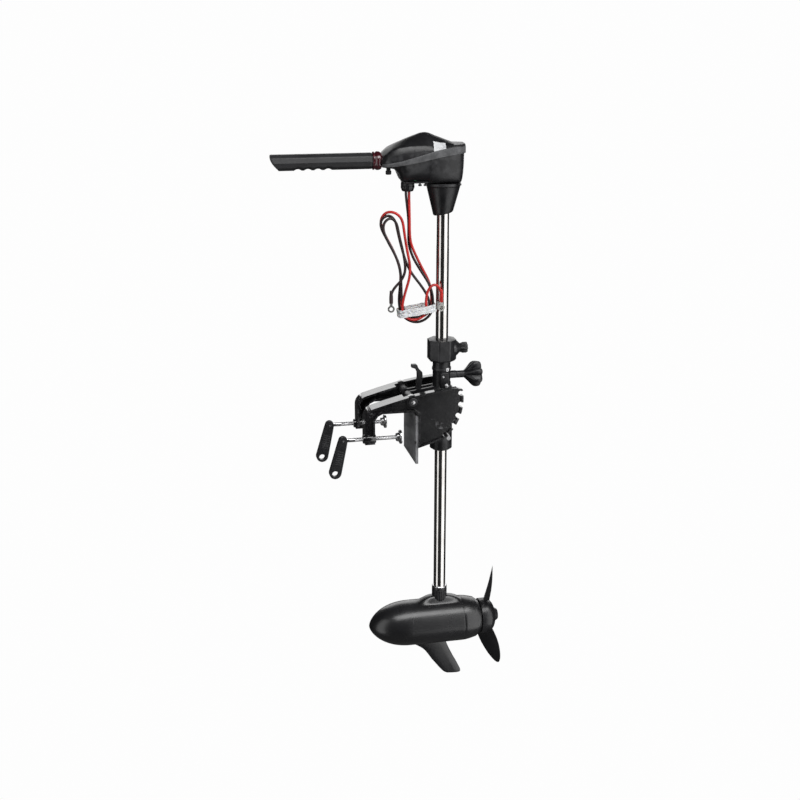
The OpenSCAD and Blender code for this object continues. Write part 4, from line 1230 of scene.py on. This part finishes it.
def make_propeller():
    x0 = PROP_LO[0]
    profile = [(x0 + 5, 20), (x0 + 1.2, 37), (x0, 41.5), (x0 + 0.4, 42.6), (x0 + 1.5, 43)]
    profile += [(x0 + 14 + 24 * math.sin(math.radians(9 * i)), 14 + 29 * math.cos(math.radians(9 * i)))
                for i in range(0, 10)]
    profile += [(PROP_HI[0] - 0.2, 12.5), (PROP_HI[0], 11), (PROP_HI[0], 0)]
    add_loft("prop_hub", lathe_rings(profile, "x", (0, POD_Z), 112),
             "prop_plastic", "propeller", body="propeller")
    for i, turn in enumerate((0.0, math.pi)):
        add_loft(f"prop_blade_{i + 1}", blade_rings(turn), "prop_plastic", body="propeller", sharp=60)


make_propeller()

# ---------- the CAD pieces that keep their shape ----------

BEVELS = {
    1.9: ("side_casting_left", "side_casting_right"),
    1.0: ("tilt_lever",),
    0.9: ("clamp_handle_left", "clamp_handle_right"),
    0.8: ("transom_plate", "swivel_sleeve"),
    0.7: ("lock_yoke", "clamp_pad_left", "clamp_pad_right"),
    0.6: ("pivot_nut",),
    0.4: ("upper_bush", "lower_bush", "lever_pin", "tension_stud", "tiller_tube", "handle_pins_left",
          "handle_pins_right", "magnets", "armature", "motor_shaft", "pod_bearings", "prop_nut"),
    0.3: ("plate_screws", "control_board", "shaft_seal", "prop_washer", "drive_pin"),
    0.25: ("black_terminal", "red_terminal"),
    0: ("lever_spring",),
}
SLOTS = {s["node"]: s["material_slot"] for s in frame["record"]["subparts"]}


def dress_cad():
    for width, nodes in BEVELS.items():
        for node in nodes:
            obj = frame["nodes"][node]
            material = MATERIALS[SLOTS[node]]
            if not obj.material_slots:
                obj.data.materials.append(material)
            for slot in obj.material_slots:
                slot.material = material
            if width:
                bevel(obj, width, 2, 35, weld=True)


dress_cad()

# ---------- floor, light and background ----------

FLOOR_Z = -2.8
FLOOR_R = 4.5


def show_camera(tree, lit, glow_kind, output):
    """The camera sees a plain pale glow, while light meets the lit shader."""
    glow = tree.nodes.new(glow_kind)
    glow.inputs["Color"].default_value = (0.985, 0.985, 0.985, 1)
    seen = tree.nodes.new("ShaderNodeLightPath")
    mix = tree.nodes.new("ShaderNodeMixShader")
    tree.links.new(seen.outputs["Is Camera Ray"], mix.inputs[0])
    tree.links.new(lit.outputs[0], mix.inputs[1])
    tree.links.new(glow.outputs[0], mix.inputs[2])
    tree.links.new(mix.outputs[0], tree.nodes[output].inputs["Surface"])


def make_floor():
    mesh = bpy.data.meshes.new("floor")
    ring = [(FLOOR_R * c, FLOOR_R * s, FLOOR_Z) for c, s in circle(96)]
    mesh.from_pydata(ring, [], [tuple(range(len(ring)))])
    floor = bpy.data.objects.new("floor", mesh)
    bpy.context.scene.collection.objects.link(floor)
    mat = bpy.data.materials.new("floor_pale")
    mat.use_nodes = True
    shader = mat.node_tree.nodes["Principled BSDF"]
    shader.inputs["Base Color"].default_value = (0.14, 0.14, 0.14, 1)
    shader.inputs["Roughness"].default_value = 0.9
    shader.inputs["Specular IOR Level"].default_value = 0.0
    show_camera(mat.node_tree, shader, "ShaderNodeEmission", "Material Output")
    mesh.materials.append(mat)


def make_world():
    world = bpy.data.worlds.new("studio")
    bpy.context.scene.world = world
    world.use_nodes = True
    tree = world.node_tree
    dim = tree.nodes["Background"]
    dim.inputs["Color"].default_value = (1, 1, 1, 1)
    dim.inputs["Strength"].default_value = 0.025
    show_camera(tree, dim, "ShaderNodeBackground", "World Output")


def add_light(name, angle, distance, height, width, tall, power, aim_z):
    """Soft panel at an angle to the right of the camera's direction, as seen from the shaft."""
    a = math.radians(angle)
    centre = Vector((SHAFT_X * MM, 0, 0))
    place = centre + distance * (-math.cos(a) * AHEAD + math.sin(a) * RIGHT) + Vector((0, 0, height))
    data = bpy.data.lights.new(name, "AREA")
    data.shape = "RECTANGLE"
    data.size = width
    data.size_y = tall
    data.energy = power
    light = bpy.data.objects.new(name, data)
    light.location = place
    aim = centre + Vector((0, 0, aim_z)) - place
    light.rotation_euler = aim.to_track_quat("-Z", "Y").to_euler()
    bpy.context.scene.collection.objects.link(light)
    return light


make_floor()
make_world()
add_light("right_panel", 57, 2.7, -0.7, 3.0, 5.4, 76, -0.7)
add_light("left_strip", -52, 2.9, -0.3, 1.4, 4.6, 26, -0.3)
add_light("front_high", 24, 2.0, 2.9, 4.2, 1.5, 100, -0.1)
add_light("back_fill", 176, 3.4, 0.9, 4.0, 2.4, 46, 0.0)
bpy.context.scene.view_settings.view_transform = "Standard"
